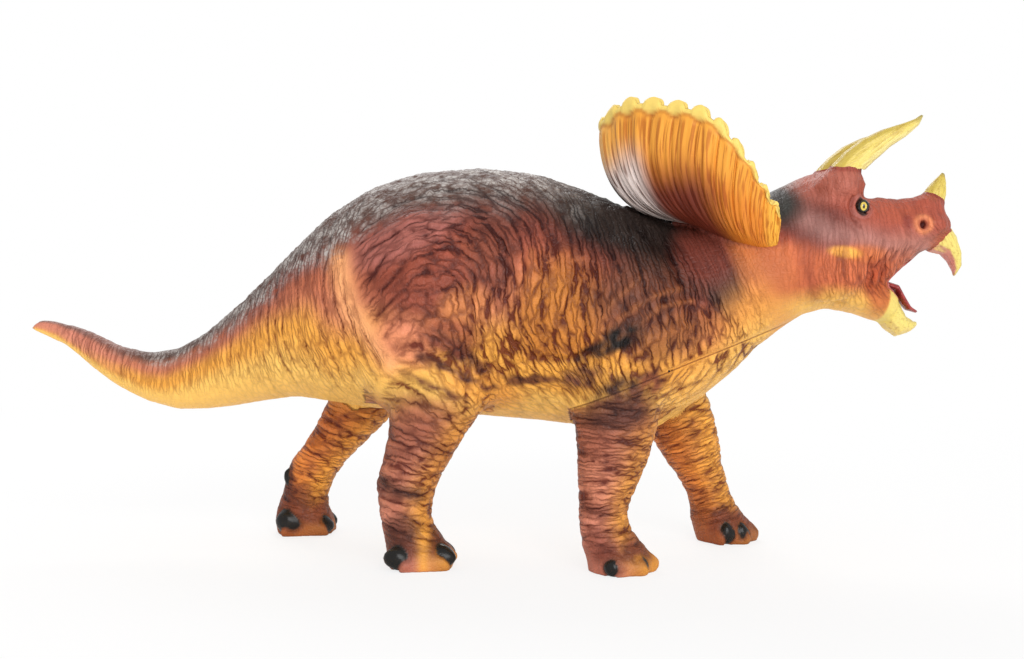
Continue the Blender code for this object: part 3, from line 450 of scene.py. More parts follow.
# Folds. The hide is tooled in folds that lie across the tail, the legs and the neck and
# arch over the haunch. Deeper creases and raised sinews are drawn over them. Places
# are taken from the tail joint forward, and on the head from the neck joint forward and
# from the floor up.
# A stroke of the comb: along, up, and the direction in degrees in which fold follows fold
REAR_FOLDS = [
    (-0.088, 0.096, 161), (-0.058, 0.080, 166), (-0.028, 0.080, 182), (-0.028, 0.100, 176),
    (0.002, 0.090, 197), (0.002, 0.110, 184), (0.024, 0.110, 197), (0.024, 0.076, 215),
    (0.016, 0.132, 176), (0.040, 0.142, 160), (0.036, 0.112, 190), (0.044, 0.096, 210),
    (0.056, 0.082, 220),
]
MIDDLE_FOLDS = [
    (0.052, 0.142, 131), (0.066, 0.150, 112), (0.083, 0.153, 92), (0.099, 0.148, 70),
    (0.108, 0.132, 30), (0.110, 0.112, 5), (0.052, 0.120, 150), (0.058, 0.104, 136),
    (0.066, 0.132, 118), (0.079, 0.136, 92), (0.093, 0.130, 62), (0.098, 0.108, 35),
    (0.067, 0.112, 122), (0.079, 0.112, 92), (0.069, 0.094, 112), (0.083, 0.096, 88),
    (0.098, 0.092, 52), (0.083, 0.080, 62), (0.096, 0.076, 60), (0.070, 0.080, 80),
    (0.066, 0.060, 78), (0.080, 0.056, 76), (0.070, 0.040, 88), (0.072, 0.020, 92),
    (0.033, 0.056, 58), (0.016, 0.030, 66), (0.008, 0.014, 85), (0.119, 0.152, 60),
    (0.124, 0.128, 12), (0.124, 0.108, 2), (0.119, 0.088, 58), (0.122, 0.072, 88),
    (0.134, 0.096, 5), (0.136, 0.120, 2), (0.136, 0.142, 15), (0.148, 0.136, -8),
    (0.144, 0.108, -22), (0.156, 0.112, -40), (0.150, 0.092, -50), (0.165, 0.096, -52),
    (0.173, 0.112, -42), (0.165, 0.128, -28), (0.181, 0.104, -36), (0.188, 0.124, 5),
    (0.205, 0.112, 26), (0.200, 0.128, 24), (0.217, 0.115, 30), (0.225, 0.128, 10),
]
FRONT_FOLDS = [
    (0.152, 0.068, -84), (0.152, 0.048, -94), (0.154, 0.020, -92), (0.180, 0.060, -66),
    (0.189, 0.044, -68), (0.200, 0.020, -78), (0.165, 0.074, -62), (0.180, 0.078, -25),
    (0.192, 0.084, -8), (0.205, 0.094, 15), (0.216, 0.100, 30),
]
# The bright bare fold between the rump and the haunch, as heights and how far forward
HAUNCH_EDGE = ([0.070, 0.077, 0.086, 0.100, 0.120, 0.138, 0.160],
               [0.056, 0.061, 0.064, 0.053, 0.045, 0.045, 0.048])
COMB_STEP = 0.0015
COMB_CORNER = (-0.145, -0.045)
COMB_SIZE = (300, 190)
LIP_CENTRE = (0.082, 0.124)
HEAD_PIVOT = Vector((0.197, 0, 0.1145))
HEAD_TURN = radians(6.6)
EYE_PLACE = (0.0537, 0.0197, 0.1464)
EYE_RADIUS = 0.0031
NOSTRIL_PLACE = (0.0806, 0.0145, 0.1395)
CREASES = [
    ([(0.1075, 0.1330), (0.1085, 0.1200), (0.1106, 0.1050), (0.1104, 0.0800)], 0.0016, 0.0007),
    ([(0.1115, 0.0925), (0.1190, 0.0866), (0.1281, 0.0841), (0.1370, 0.0853), (0.1440, 0.0890),
      (0.1500, 0.0945)], 0.0013, 0.0009),
    ([(0.0610, 0.0770), (0.0700, 0.0700), (0.0790, 0.0600)], 0.0016, 0.0006),
]
FACE_CREASES = [
    ([(0.0666, 0.1288), (0.0627, 0.1247), (0.0588, 0.1207), (0.0590, 0.1158)], 0.0011, 0.0012),
    ([(0.0690, 0.1276), (0.0648, 0.1235), (0.0624, 0.1199), (0.0628, 0.1150)], 0.0010, 0.0010),
    ([(0.0573, 0.1250), (0.0563, 0.1199), (0.0570, 0.1145)], 0.0010, 0.0009),
    ([(0.0500, 0.1500), (0.0484, 0.1455), (0.0488, 0.1415), (0.0520, 0.1380)], 0.0008, 0.0007),
    ([(0.0440, 0.1420), (0.0470, 0.1385), (0.0520, 0.1350)], 0.0010, 0.0004),
]
SINEWS = [
    [(0.1440, 0.0880), (0.1560, 0.1010), (0.1680, 0.1100), (0.1800, 0.1130)],
    [(0.1500, 0.0860), (0.1610, 0.0980), (0.1720, 0.1060), (0.1850, 0.1080)],
    [(0.1450, 0.0960), (0.1530, 0.1080), (0.1620, 0.1170)],
    [(0.1560, 0.0830), (0.1680, 0.0930), (0.1820, 0.0980)],
    [(0.1300, 0.0980), (0.1330, 0.1120), (0.1310, 0.1260)],
    [(0.1210, 0.0960), (0.1180, 0.1120), (0.1200, 0.1280)],
]
SEAM_PLACE = (0.1720, 0.07876)
SEAM_SLOPE = 0.3879
SEAM_WIDTH = 0.0009
SEAM_DEPTH = 0.0005
WIDE_FOLD = 0.00055
FINE_FOLD = 0.00020
RUMP_FOLD = 0.00105
SINEW_WIDTH = 0.0014
SINEW_HEIGHT = 0.0009
TOE_GROOVE = 0.0005
TOE_SWELL = 0.0003
LID_HEIGHT = 0.00028
NOSTRIL_DEPTH = 0.0016
NOSTRIL_RIM = 0.0007
TEMPLE_DEPTH = 0.0026
PEBBLE_SIZE = 0.0026
PEBBLE_HEIGHT = 0.0007


def combed_map(strokes):
    """A height map whose slope follows some directions as nearly as it can."""
    x = COMB_CORNER[0] + COMB_STEP * np.arange(COMB_SIZE[0])[:, None]
    z = COMB_CORNER[1] + COMB_STEP * np.arange(COMB_SIZE[1])[None, :]
    slope = np.zeros((2, *COMB_SIZE))
    for a, b, turn in strokes:
        pull = 1 / ((x - a) ** 2 + (z - b) ** 2 + 0.004 ** 2) ** 2
        slope += np.stack([pull * cos(radians(turn)), pull * sin(radians(turn))])
    slope /= np.linalg.norm(slope, axis=0)
    source = 0
    for axis in (0, 1):
        along = slope[axis].swapaxes(0, axis)
        none = along[:1] * 0
        along = np.concatenate([along[:-1], none, -along[:-1][::-1], none])
        change = (along - np.roll(along, 1, axis=0)) / COMB_STEP
        change = np.concatenate([change, change[:, ::-1]], axis=1)
        source = source + change.swapaxes(0, axis)
    turns = [2 * np.cos(2 * pi * np.arange(n) / n) - 2 for n in source.shape]
    bend = (turns[0][:, None] + turns[1][None, :]) / COMB_STEP ** 2
    bend[0, 0] = 1
    return np.fft.ifft2(np.fft.fft2(source) / bend).real[:COMB_SIZE[0], :COMB_SIZE[1]]


def combed(strokes, x, z):
    """The height of a combed map at each place."""
    heights = combed_map(strokes)
    column = np.clip((x - COMB_CORNER[0]) / COMB_STEP, 0, COMB_SIZE[0] - 1.001)
    row = np.clip((z - COMB_CORNER[1]) / COMB_STEP, 0, COMB_SIZE[1] - 1.001)
    i, j = column.astype(int), row.astype(int)
    a, b = column - i, row - j
    near = heights[i, j] * (1 - b) + heights[i, j + 1] * b
    return near * (1 - a) + (heights[i + 1, j] * (1 - b) + heights[i + 1, j + 1] * b) * a


HEAD_SOLIDS = ["head_shell", "mouth_lining", "frill", "brow_horn_right", "brow_horn_left",
               "nose_horn", "upper_beak", "lower_beak", "tongue", "eye_right", "eye_left"]
TRUNK_SOLIDS = ["back_shell", "chest_shell", "tail"]


def on_head(place, side):
    """A place on the head, given along, out and up, in the figure's own frame."""
    x, y, z = place
    turn = Matrix.Rotation(HEAD_TURN, 3, "Z")
    return turn @ Vector((x, side * y, 0)) + Vector((HEAD_PIVOT.x + FIGURE_X, 0, z))


class Hide:
    """The worked surface of one clay: where each point lies, its folds and its paint."""

    def __init__(self, mesh, rubs, fine_places=()):
        self.mesh = mesh
        rub(mesh, rubs)
        if fine_places:
            refine(mesh, fine_places, FINE_REACH)
        self.face_owner, self.owner = owners(mesh)
        move_points(mesh, points_of(mesh) - normals_of(mesh) * GROWTH)
        self.points, self.normals = points_of(mesh), normals_of(mesh)
        self.x, self.y, self.z = self.points.T
        self.x = self.x - FIGURE_X
        self.legs = np.char.find(self.owner.astype(str), "leg") >= 0
        self.head = np.isin(self.owner, HEAD_SOLIDS)
        c, s = cos(HEAD_TURN), sin(HEAD_TURN)
        self.u = (self.x - HEAD_PIVOT.x) * c + self.y * s
        self.v = self.y * c - (self.x - HEAD_PIVOT.x) * s
        self.skull = rise(self.u + (self.z - 0.115) * 0.35, 0.006, 0.030) * self.head
        self.eye = np.hypot(self.u - EYE_PLACE[0], self.z - EYE_PLACE[2])
        self.eye[~self.head] = 1.0
        self.nostril = np.hypot(self.u - NOSTRIL_PLACE[0], self.z - NOSTRIL_PLACE[2])
        self.nostril[~self.head] = 1.0
        self.nail = np.full(len(self.x), 9.0)
        for name, place, size, turn in NAILS:
            far = self.points - np.array(place) - (FIGURE_X, 0, 0)
            c, s = cos(radians(turn)), sin(radians(turn))
            far = np.stack(
                [far[:, 0] * c + far[:, 1] * s, far[:, 1] * c - far[:, 0] * s, far[:, 2]], axis=1,
            )
            far = far / size
            ahead = np.clip(far[:, 0], 0, 1)
            far[:, 2] += NAIL_DROOP * ahead
            far[:, 1:] /= (1 - NAIL_TAPER * ahead)[:, None]
            far = np.linalg.norm(far, axis=1)
            self.nail = np.where(self.owner == name, np.minimum(self.nail, far), self.nail)

    def measure(self, trunk):
        """How high each point lies between the underside and the back, from 0 to 1."""
        places, low, high = trunk
        underside = np.interp(self.x, places, low)
        self.level = (self.z - underside) / np.interp(self.x, places, high - low)

    def run(self):
        """A value whose level lines run the way the folds do."""
        x, z = self.x, self.z
        flow = combed(MIDDLE_FOLDS, x, z)
        self.behind = x - np.interp(z, *HAUNCH_EDGE)
        rear = (self.behind < 0) & ~(self.legs & (z < 0.070))
        flow = np.where(rear, combed(REAR_FOLDS, x, z), flow)
        self.under = z - SEAM_PLACE[1] - (x - SEAM_PLACE[0]) * SEAM_SLOPE
        flow = np.where((self.under < 0) & (x > 0.1345), combed(FRONT_FOLDS, x, z), flow)
        jaw = np.hypot(self.u - LIP_CENTRE[0], self.z - LIP_CENTRE[1])
        jaw += (LIP_CENTRE[0] - self.u - jaw) * rise(self.z, 0.126, 0.140)
        nape = combed(MIDDLE_FOLDS, np.array([0.216]), np.array([0.122]))[0] + 0.064
        return flow + (nape - jaw - flow) * self.skull

    def fold(self):
        """Tools the folds into the mesh and notes how deep each point lies in one."""
        x, y, z, level, skull = self.x, self.y, self.z, self.level, self.skull
        self.flow = flow = self.run()
        self.wander = wander = ripple(x / 0.017, y / 0.017, z / 0.017)
        along, across = (x + y) / 0.022, (z - y) / 0.022
        wide = np.exp(-(ripple(flow / 0.0042, along * 0.8, across * 0.8) / 0.13) ** 2)
        fine = np.exp(-(ripple(flow / 0.0024 + 9, along * 1.2, across * 1.2) / 0.18) ** 2)
        even = (1 - np.abs(np.sin(pi * (flow / 0.0043 + wander * 0.5)))) ** 2.5
        even *= rise(ripple(flow / 0.006, along * 0.7 + 5, across * 0.7), -0.45, 0.15)

        trunk = ~self.legs & (skull < 0.5)
        rump = fall(x, 0.062, 0.084) * rise(x, -0.104, -0.070) * trunk
        tailward = fall(x, -0.030, 0.020) * trunk
        base = 0.30 - 0.15 * tailward
        calm = np.where(trunk, rise(level - tailward * 0.12, 0.02, 0.30) * (1 - base) + base, 1.0)
        calm *= np.where(trunk, 1 - 0.6 * rise(level, 0.86, 0.97), 1.0)
        calm *= np.where(self.legs, rise(z, 0.002, 0.016) * 0.80, 1.0)
        calm *= 1 - 0.6 * rise(z, 0.062, 0.076) * fall(x, 0.054, 0.062) * self.legs
        edge = np.exp(-(self.behind / 0.0026) ** 2)
        calm *= 1 - edge * rise(z, 0.056, 0.064) * fall(z, 0.136, 0.150)
        calm *= 1 - np.exp(-(self.under / 0.0012) ** 2) * rise(x, 0.130, 0.136) * (1 - skull)
        calm *= 1 - 3.4 * skull * (1 - skull)
        self.beak_edge = self.u - 0.0648 - (z - 0.1012) * 0.296
        calm *= 1 - rise(self.beak_edge, -0.0010, 0.0002) * fall(z, 0.1150, 0.1175) * skull
        jaw = rise(self.u, 0.030, 0.045) * fall(z, 0.126, 0.134)
        calm *= (1 - 0.35 * rump) * (1 - 0.6 * skull * fall(z, 0.104, 0.114))
        calm *= (1 - (0.68 - 0.35 * jaw) * skull) * rise(x, -0.106, -0.080)
        calm *= rise(self.nail, 1.0, 1.5) * rise(self.eye, 0.0036, 0.0055)
        self.calm = calm
        depth = wide * WIDE_FOLD * (1 - rump * 0.7) + fine * FINE_FOLD + even * rump * RUMP_FOLD
        depth *= calm
        wash = (wide * 0.9 * (1 - rump * 0.6) + fine * 0.35 + even * rump * 1.35) * calm
        wash *= 1 - 0.55 * tailward

        for line, width, deep in CREASES:
            drawn = stroke(x + wander * 0.0012, z, line, width) * trunk
            depth += drawn * deep
            wash += drawn * 0.9
        for line, width, deep in FACE_CREASES:
            drawn = stroke(self.u + wander * 0.0008, z, line, width) * skull
            depth += drawn * deep
            wash += drawn * deep / 0.0016
        for line in SINEWS:
            drawn = stroke(x + wander * 0.0015, z, line, SINEW_WIDTH) * trunk
            depth -= drawn * SINEW_HEIGHT
            wash -= drawn * 0.9
        self.seamed = rise(x, 0.132, 0.138) * rise(-z, -0.104, -0.098) * (1 - skull)
        depth += np.exp(-(self.under / SEAM_WIDTH) ** 2) * self.seamed * SEAM_DEPTH

        toe = np.exp(-((self.nail - 1.18) / 0.11) ** 2)
        swell = fall(self.nail, 1.25, 2.1) * rise(self.nail, 1.15, 1.3)
        depth += toe * TOE_GROOVE - swell * TOE_SWELL
        wash += toe * 0.8
        outer = rise(np.abs(self.v), 0.006, 0.010) * self.head
        lid = np.exp(-((self.eye - 0.0037) / 0.0006) ** 2)
        lid -= np.exp(-((self.eye - 0.0048) / 0.0006) ** 2)
        depth -= lid * LID_HEIGHT * outer
        rim = np.exp(-((self.nostril - 0.0031) / 0.0011) ** 2)
        inside = np.hypot((self.u - NOSTRIL_PLACE[0]) / 0.7, z - NOSTRIL_PLACE[2])
        hole = fall(inside, 0.0008, 0.0022)
        depth += (hole * NOSTRIL_DEPTH - rim * NOSTRIL_RIM) * outer
        wash += hole * outer
        temple = spot(self.u, z, (0.0580, 0.1560), (0.0058, 0.0095))
        depth += temple * skull * TEMPLE_DEPTH

        cells = np.zeros(len(x))
        top = (level > 0.80) & trunk & (x > -0.06)
        cells[top] = [
            1 - noise.voronoi((a, b, c))[0][0]
            for a, b, c in (self.points[top] / PEBBLE_SIZE).tolist()
        ]
        pebbled = rise(level, 0.84, 0.95) * rise(x, -0.06, 0.0) * fall(x, 0.165, 0.180)
        pebbled *= trunk
        depth -= (cells - 0.45) * PEBBLE_HEIGHT * pebbled
        self.wash = np.clip(wash, 0, 1.3)
        self.depth = depth

    def press(self):
        """Moves the points into their folds, with the soles left flat on the floor."""
        points = self.points - self.normals * self.depth[:, None]
        points[:, 2] = np.maximum(points[:, 2], 0)
        move_points(self.mesh, points)


TRUNK_FROM_X = -0.106
TRUNK_TO_X = 0.215
TRUNK_STEP = 0.003

shaped = joined_solids()
for name, place, size, turn in NAILS:
    press_on(shaped, place, size, turn)
for place, size in HEELS:
    press_on(shaped, place, size)
features = [on_head(place, side) for place in (EYE_PLACE, NOSTRIL_PLACE) for side in (-1, 1)]
body = Hide(clay("body_clay", shaped, BODY_GRAIN), BODY_RUBS)
head = Hide(clay("head_clay", joined_solids(HEAD_FROM_X), HEAD_GRAIN), HEAD_RUBS, features)

on_trunk = np.isin(body.owner, TRUNK_SOLIDS)
trunk_places = np.arange(TRUNK_FROM_X, TRUNK_TO_X, TRUNK_STEP)
bins = np.digitize(body.x[on_trunk], trunk_places)
trunk_low = np.array([body.z[on_trunk][bins == i].min() for i in range(1, len(trunk_places))])
trunk_high = np.array([body.z[on_trunk][bins == i].max() for i in range(1, len(trunk_places))])
trunk_form = (trunk_places[:-1] + TRUNK_STEP / 2, trunk_low, trunk_high)
for hide in (body, head):
    hide.measure(trunk_form)
    hide.fold()


# Paint. The vinyl is moulded yellow-orange. Rose, maroon and near-black are sprayed over it
# from above, smudges and claws are put on by brush, and dark wash is left in the folds. Some
# coats are painted light: the folds are darkened past the wash as painted shade, ridge tops
# and a few spots are lightened as painted highlights and sheen, undersides are laid brighter
# as a painted glow, and the far legs a deeper orange as painted glow and shade.
ORANGE = (0.90, 0.40, 0.06)
YELLOW = (1.00, 0.60, 0.14)
BRICK = (0.50, 0.12, 0.05)
MAROON = (0.27, 0.060, 0.036)
UMBER = (0.095, 0.040, 0.026)
SOOT = (0.022, 0.014, 0.011)
ASH = (0.47, 0.43, 0.40)


# Smudges on the near flank: place, half size, tilt and colour
SMUDGES = [
    ((0.1460, 0.0880), (0.0100, 0.0032), 24, (0.060, 0.022, 0.010)),
    ((0.1565, 0.0945), (0.0085, 0.0052), 26, (0.016, 0.012, 0.011)),
    ((0.1390, 0.0772), (0.0076, 0.0044), 10, (0.160, 0.050, 0.026)),
    ((0.1190, 0.0765), (0.0110, 0.0022), -6, (0.200, 0.065, 0.022)),
    ((0.1560, 0.0700), (0.0120, 0.0080), 16, (0.070, 0.024, 0.014)),
    ((0.1690, 0.0770), (0.0060, 0.0050), 40, (0.260, 0.075, 0.030)),
    ((0.0950, 0.0840), (0.0100, 0.0024), -24, (0.190, 0.055, 0.020)),
    ((0.0860, 0.0900), (0.0100, 0.0024), -20, (0.220, 0.055, 0.028)),
]


class Coat:
    """The colour of each point of a hide, laid on in thin coats."""

    def __init__(self, mesh, colour):
        self.mesh = mesh
        self.colour = np.tile(np.array(colour, float), (len(mesh.vertices), 1))

    def lay(self, colour, share):
        self.colour += (np.array(colour) - self.colour) * np.clip(share, 0, 1)[:, None]

    def dry(self):
        """Leaves the coats on the mesh as its paint."""
        solid = np.ones((len(self.colour), 1))
        keep(self.mesh, "paint", np.concatenate([self.colour, solid], axis=1), "FLOAT_COLOR")


def leg_places(hide, name):
    """How far forward each point lies on its leg, from heel to toe, as a share."""
    own = hide.owner == name
    heights = np.arange(0, 0.090, 0.004)
    at = np.clip(np.digitize(hide.z[own], heights) - 1, 0, len(heights) - 1)
    rear = np.full(len(heights), np.nan)
    front = np.full(len(heights), np.nan)
    for i in range(len(heights)):
        if (at == i).any():
            rear[i], front[i] = hide.x[own][at == i].min(), hide.x[own][at == i].max()
    known = ~np.isnan(rear)
    low = np.interp(hide.z, heights[known], rear[known])
    high = np.interp(hide.z, heights[known], front[known])
    return own, (hide.x - low) / (high - low)


def paint_trunk(hide, coat):
    """Lays the paint of back, flanks, belly and tail, from the light coats to the dark."""
    x, z, level = hide.x, hide.z, hide.level + hide.wander * 0.05
    trunk = 1 - hide.skull
    rear = fall(x, 0.000, 0.050)
    # The yellow underside is the toy's own paint, laid brighter as a painted glow.
    coat.lay(YELLOW, fall(level - rear * 0.16, 0.08, 0.30) * trunk * 0.9)
    coat.lay((0.62, 0.20, 0.10), rise(level - rear * 0.20, 0.28, 0.50) * trunk)
    coat.lay(BRICK, rise(level, 0.44, 0.66) * rise(x, 0.000, 0.050) * trunk * 0.7)
    coat.lay(MAROON, rise(level, 0.58, 0.78) * trunk * rise(x, -0.060, 0.020))
    coat.lay(UMBER, rise(level, 0.72, 0.90) * rise(x, -0.098, -0.060) * trunk)
    coat.lay((0.27, 0.055, 0.030), spot(x, z, (0.076, 0.118), (0.026, 0.020), -20) * 0.9)
    # Painted highlight: a pale rose oval high on the haunch.
    coat.lay((0.46, 0.16, 0.13), spot(x, z, (0.066, 0.133), (0.026, 0.008), 24) * 0.6)
    coat.lay((0.22, 0.055, 0.030), spot(x, z, (0.104, 0.128), (0.010, 0.018)) * 0.8)
    crescent = stroke(x, z, [(0.040, 0.124), (0.045, 0.106), (0.063, 0.083)], 0.0050)
    coat.lay((1.00, 0.45, 0.18), crescent * 0.9)
    coat.lay((0.74, 0.24, 0.14), spot(x, z, (0.070, 0.092), (0.013, 0.009), -30) * 0.8)
    coat.lay((0.78, 0.28, 0.08), spot(x, z, (0.094, 0.106), (0.010, 0.008), 10) * 0.6)
    coat.lay((0.30, 0.065, 0.035), spot(x, z, (0.088, 0.094), (0.012, 0.007), -10) * 0.8)
    coat.lay((0.88, 0.36, 0.06), spot(x, z, (0.100, 0.074), (0.016, 0.009), -14) * 0.8)
    coat.lay((0.56, 0.19, 0.025), spot(x, z, (0.131, 0.100), (0.018, 0.024)) * 0.95)
    coat.lay((0.88, 0.40, 0.06), spot(x, z, (0.134, 0.078), (0.024, 0.007)) * 0.9)
    coat.lay((0.12, 0.040, 0.020), spot(x, z, (0.166, 0.112), (0.022, 0.016), 20) * 0.85)
    coat.lay((0.30, 0.10, 0.025), spot(x, z, (0.176, 0.094), (0.018, 0.008), 22) * 0.8)
    coat.lay(SOOT, spot(x, z, (0.164, 0.140), (0.040, 0.017), -16) * 0.97)
    coat.lay((0.21, 0.045, 0.028), spot(x, z, (0.190, 0.128), (0.013, 0.014)) * 0.85)
    throat = rise(x + (z - 0.12) * 0.3, 0.198, 0.208) * fall(z, 0.138, 0.148)
    coat.lay((0.68, 0.21, 0.06), throat * trunk)
    chest = rise(x + (0.100 - z) * 0.5, 0.186, 0.206) * fall(z, 0.104, 0.122)
    coat.lay((0.84, 0.34, 0.07), chest * trunk)
    # The chest front is the toy's yellow paint, laid brighter as painted light against its shade.
    front = rise(x + (0.100 - z) * 0.9, 0.196, 0.222) * fall(z, 0.092, 0.114)
    coat.lay((1.00, 0.60, 0.13), front * 0.85 * trunk)
    rough = ripple(x / 0.0042, hide.y / 0.0042, z / 0.0042)
    uneven = hide.wander * 0.0022 + rough * 0.0016
    ragged = (0.62 + 0.38 * rise(rough, -0.35, 0.20)) * (hide.y < 0.006)
    for line in ([(0.0745, 0.0856), (0.1044, 0.0740)], [(0.0809, 0.0960), (0.1001, 0.0824)],
                 [(0.0680, 0.0783), (0.0937, 0.0679)]):
        coat.lay((0.150, 0.042, 0.022), stroke(x + uneven, z + uneven, line, 0.0019) * ragged)
    for line in SINEWS:
        coat.lay((0.40, 0.13, 0.035), stroke(x + uneven, z, line, 0.0011) * ragged * 0.5)
    for place, size, tilt, colour in SMUDGES:
        coat.lay(colour, spot(x + uneven, z + uneven, place, size, tilt) * ragged)
    coat.lay((0.68, 0.24, 0.16), fall(x, -0.086, -0.050) * rise(level, 0.25, 0.50) * 0.85)
    coat.lay((0.16, 0.10, 0.09), fall(x, -0.086, -0.050) * rise(level, 0.80, 0.95) * 0.8)


def paint_leg(hide, coat, name):
    """Lays the paint of one leg, its foot and its nails."""
    own, forward = leg_places(hide, name)
    forward = forward + hide.wander * 0.08
    x, y, z = hide.x, hide.y, hide.z
    near = name.endswith("right")
    own = own * fall(z + hide.wander * 0.004, 0.060, 0.078)
    low = own * fall(z + hide.wander * 0.004, 0.054, 0.074)
    patches = rise(ripple(x / 0.010 + 3, y / 0.010, z / 0.006), -0.05, 0.40)
    coat.lay(ORANGE, low)
    if near:
        coat.lay((0.70, 0.25, 0.18), fall(forward, 0.40, 0.85) * low * 0.95)
        coat.lay((0.62, 0.22, 0.08), rise(z, 0.010, 0.030) * low * 0.35)
    else:
        # Painted glow and shade: the far legs get a deeper, more saturated orange than the near
        # ones.
        coat.lay((0.72, 0.20, 0.04), fall(forward, 0.30, 0.90) * low * 0.8)
    coat.lay(MAROON, patches * low * (0.32 if near else 0.30))
    toes = rise(hide.nail, 1.1, 1.3) * fall(hide.nail, 1.9, 3.2)
    coat.lay((0.13, 0.035, 0.022), toes * rise(z, 0.003, 0.008) * own * 0.9)
    thigh = rise(z, 0.036, 0.056) * (0.65 if near else 0.2) * fall(forward, 0.55, 0.95)
    coat.lay((0.24, 0.060, 0.030), thigh * own)
    coat.lay((0.24, 0.06, 0.025), fall(z, 0.012, 0.024) * own * (0.35 if near else 0.75))
    if name == "hind_leg_right":
        heel = stroke(x, z, [(0.0590, 0.0355), (0.0640, 0.0325), (0.0740, 0.0300)], 0.0034)
        coat.lay((0.11, 0.035, 0.022), heel * own * 0.9)
        coat.lay((0.12, 0.035, 0.02), spot(x, z, (0.0680, 0.0160), (0.0075, 0.0065)) * own * 0.85)
        front = spot(x, z, (0.0850, 0.0150), (0.0055, 0.0060), -40)
        coat.lay((0.14, 0.04, 0.02), front * own * 0.8)
        coat.lay(ORANGE, stroke(x, z, [(0.0775, 0.0020), (0.0770, 0.0150)], 0.0022) * own * 0.8)
    if name == "foreleg_right":
        coat.lay((0.10, 0.030, 0.020), spot(x, z, (0.1540, 0.0640), (0.014, 0.007), 8) * own * 0.9)
        wrist = stroke(x, z, [(0.1420, 0.0250), (0.1500, 0.0245)], 0.0022)
        coat.lay((0.20, 0.05, 0.03), wrist * own * 0.8)
        coat.lay((0.22, 0.05, 0.03), spot(x, z, (0.1480, 0.0120), (0.0060, 0.0060)) * own * 0.6)
        coat.lay((0.22, 0.06, 0.03), spot(x, z, (0.1620, 0.0130), (0.0045, 0.0050)) * own * 0.7)
    if name == "hind_leg_left":
        coat.lay((0.20, 0.05, 0.02), spot(x, z, (0.0060, 0.0180), (0.008, 0.006)) * own * 0.7)
    coat.lay((0.018, 0.017, 0.015), fall(hide.nail + hide.wander * 0.06, 1.02, 1.17))


def paint_head(hide, coat):
    """Lays the paint of the head, and raises the skin round the roots of horns and frill."""
    u, z = hide.u, hide.z
    own = hide.skull
    wavy = hide.wander
    coat.lay((0.60, 0.145, 0.055), own)
    throat = fall(z - (u - 0.03) * 0.06 + wavy * 0.003, 0.105, 0.115)
    coat.lay((0.95, 0.54, 0.11), throat * own)
    coat.lay((0.42, 0.090, 0.052), rise(z + wavy * 0.004, 0.128, 0.137) * own)
    coat.lay((0.24, 0.050, 0.034), spot(u, z, (0.037, 0.138), (0.016, 0.010), -10) * own * 0.85)
    coat.lay((0.13, 0.028, 0.020), spot(u, z, (0.030, 0.142), (0.013, 0.010), -10) * own * 0.8)
    coat.lay((0.47, 0.15, 0.105), spot(u, z, (0.040, 0.158), (0.016, 0.010), 10) * own * 0.7)
    cheek = [(0.030, 0.141), (0.040, 0.135), (0.052, 0.134), (0.066, 0.131), (0.082, 0.131)]
    mauve = stroke(u, z, cheek, 0.0055)
    coat.lay((0.43, 0.21, 0.18), mauve * own * 0.65)
    coat.lay((0.46, 0.10, 0.05), spot(u, z, (0.070, 0.145), (0.012, 0.005), -8) * own * 0.6)
    coat.lay((0.030, 0.038, 0.034), spot(u, z, (0.017, 0.149), (0.012, 0.011)) * own * 0.95)
    # Painted sheen: the top of the skull in front of the frill is laid pale grey.
    coat.lay((0.30, 0.30, 0.28), rise(z, 0.154, 0.158) * fall(u, 0.024, 0.034) * own * 0.8)
    coat.lay((0.74, 0.20, 0.05), spot(u, z, (0.0520, 0.1270), (0.012, 0.0034)) * own * 0.6)
    coat.lay((1.0, 0.46, 0.08), spot(u, z, (0.0455, 0.1278), (0.0064, 0.0022), -6) * own * 0.95)
    coat.lay((0.56, 0.10, 0.035), spot(u, z, (0.0620, 0.1130), (0.0065, 0.0110), 12) * own * 0.8)
    jaw = stroke(u, z, [(0.0290, 0.1300), (0.0300, 0.1200), (0.0340, 0.1110)], 0.0030)
    coat.lay((0.30, 0.06, 0.03), jaw * own * 0.5)
    coat.lay((0.40, 0.15, 0.13), fall(np.abs(hide.eye - 0.0042), 0.0004, 0.0014) * own * 0.45)
    beak_strip = rise(hide.beak_edge, -0.0006, 0.0006) * fall(z, 0.1150, 0.1175)
    coat.lay((0.84, 0.66, 0.17), beak_strip * own * 0.95)
    coat.lay((0.25, 0.045, 0.035), spot(u, z, (0.0741, 0.1405), (0.0022, 0.0028)) * own * 0.7)
    coat.lay((0.78, 0.25, 0.11), np.exp(-((hide.nostril - 0.0031) / 0.0012) ** 2) * own)
    inside = np.hypot((u - NOSTRIL_PLACE[0]) / 0.75, z - NOSTRIL_PLACE[2])
    coat.lay((0.13, 0.016, 0.012), fall(inside, 0.0011, 0.0022) * own)
    socket = np.hypot((u - EYE_PLACE[0]) / 0.80, (z - EYE_PLACE[2]) / 1.12)
    coat.lay((0.030, 0.012, 0.009), fall(socket, 0.0032, 0.0039) * own * 0.95)
    coat.lay((0.30, 0.035, 0.030), (hide.owner == "mouth_lining") * 1.0)
    collar = distance_to(["brow_horn_right", "brow_horn_left", "nose_horn"], hide.points, 0.004)
    coat.lay((0.30, 0.055, 0.035), fall(collar, 0.0004, 0.0020) * own * 0.8)
    hide.depth -= fall(collar, 0.0006, 0.0030) * 0.0004 * own
    sheath = distance_to(["frill"], hide.points, 0.005)
    hide.depth -= fall(sheath, 0.0004, 0.0020) * 0.0004
    coat.lay(MAROON, fall(sheath, 0.0010, 0.0045) * rise(z, 0.128, 0.134) * 0.7)


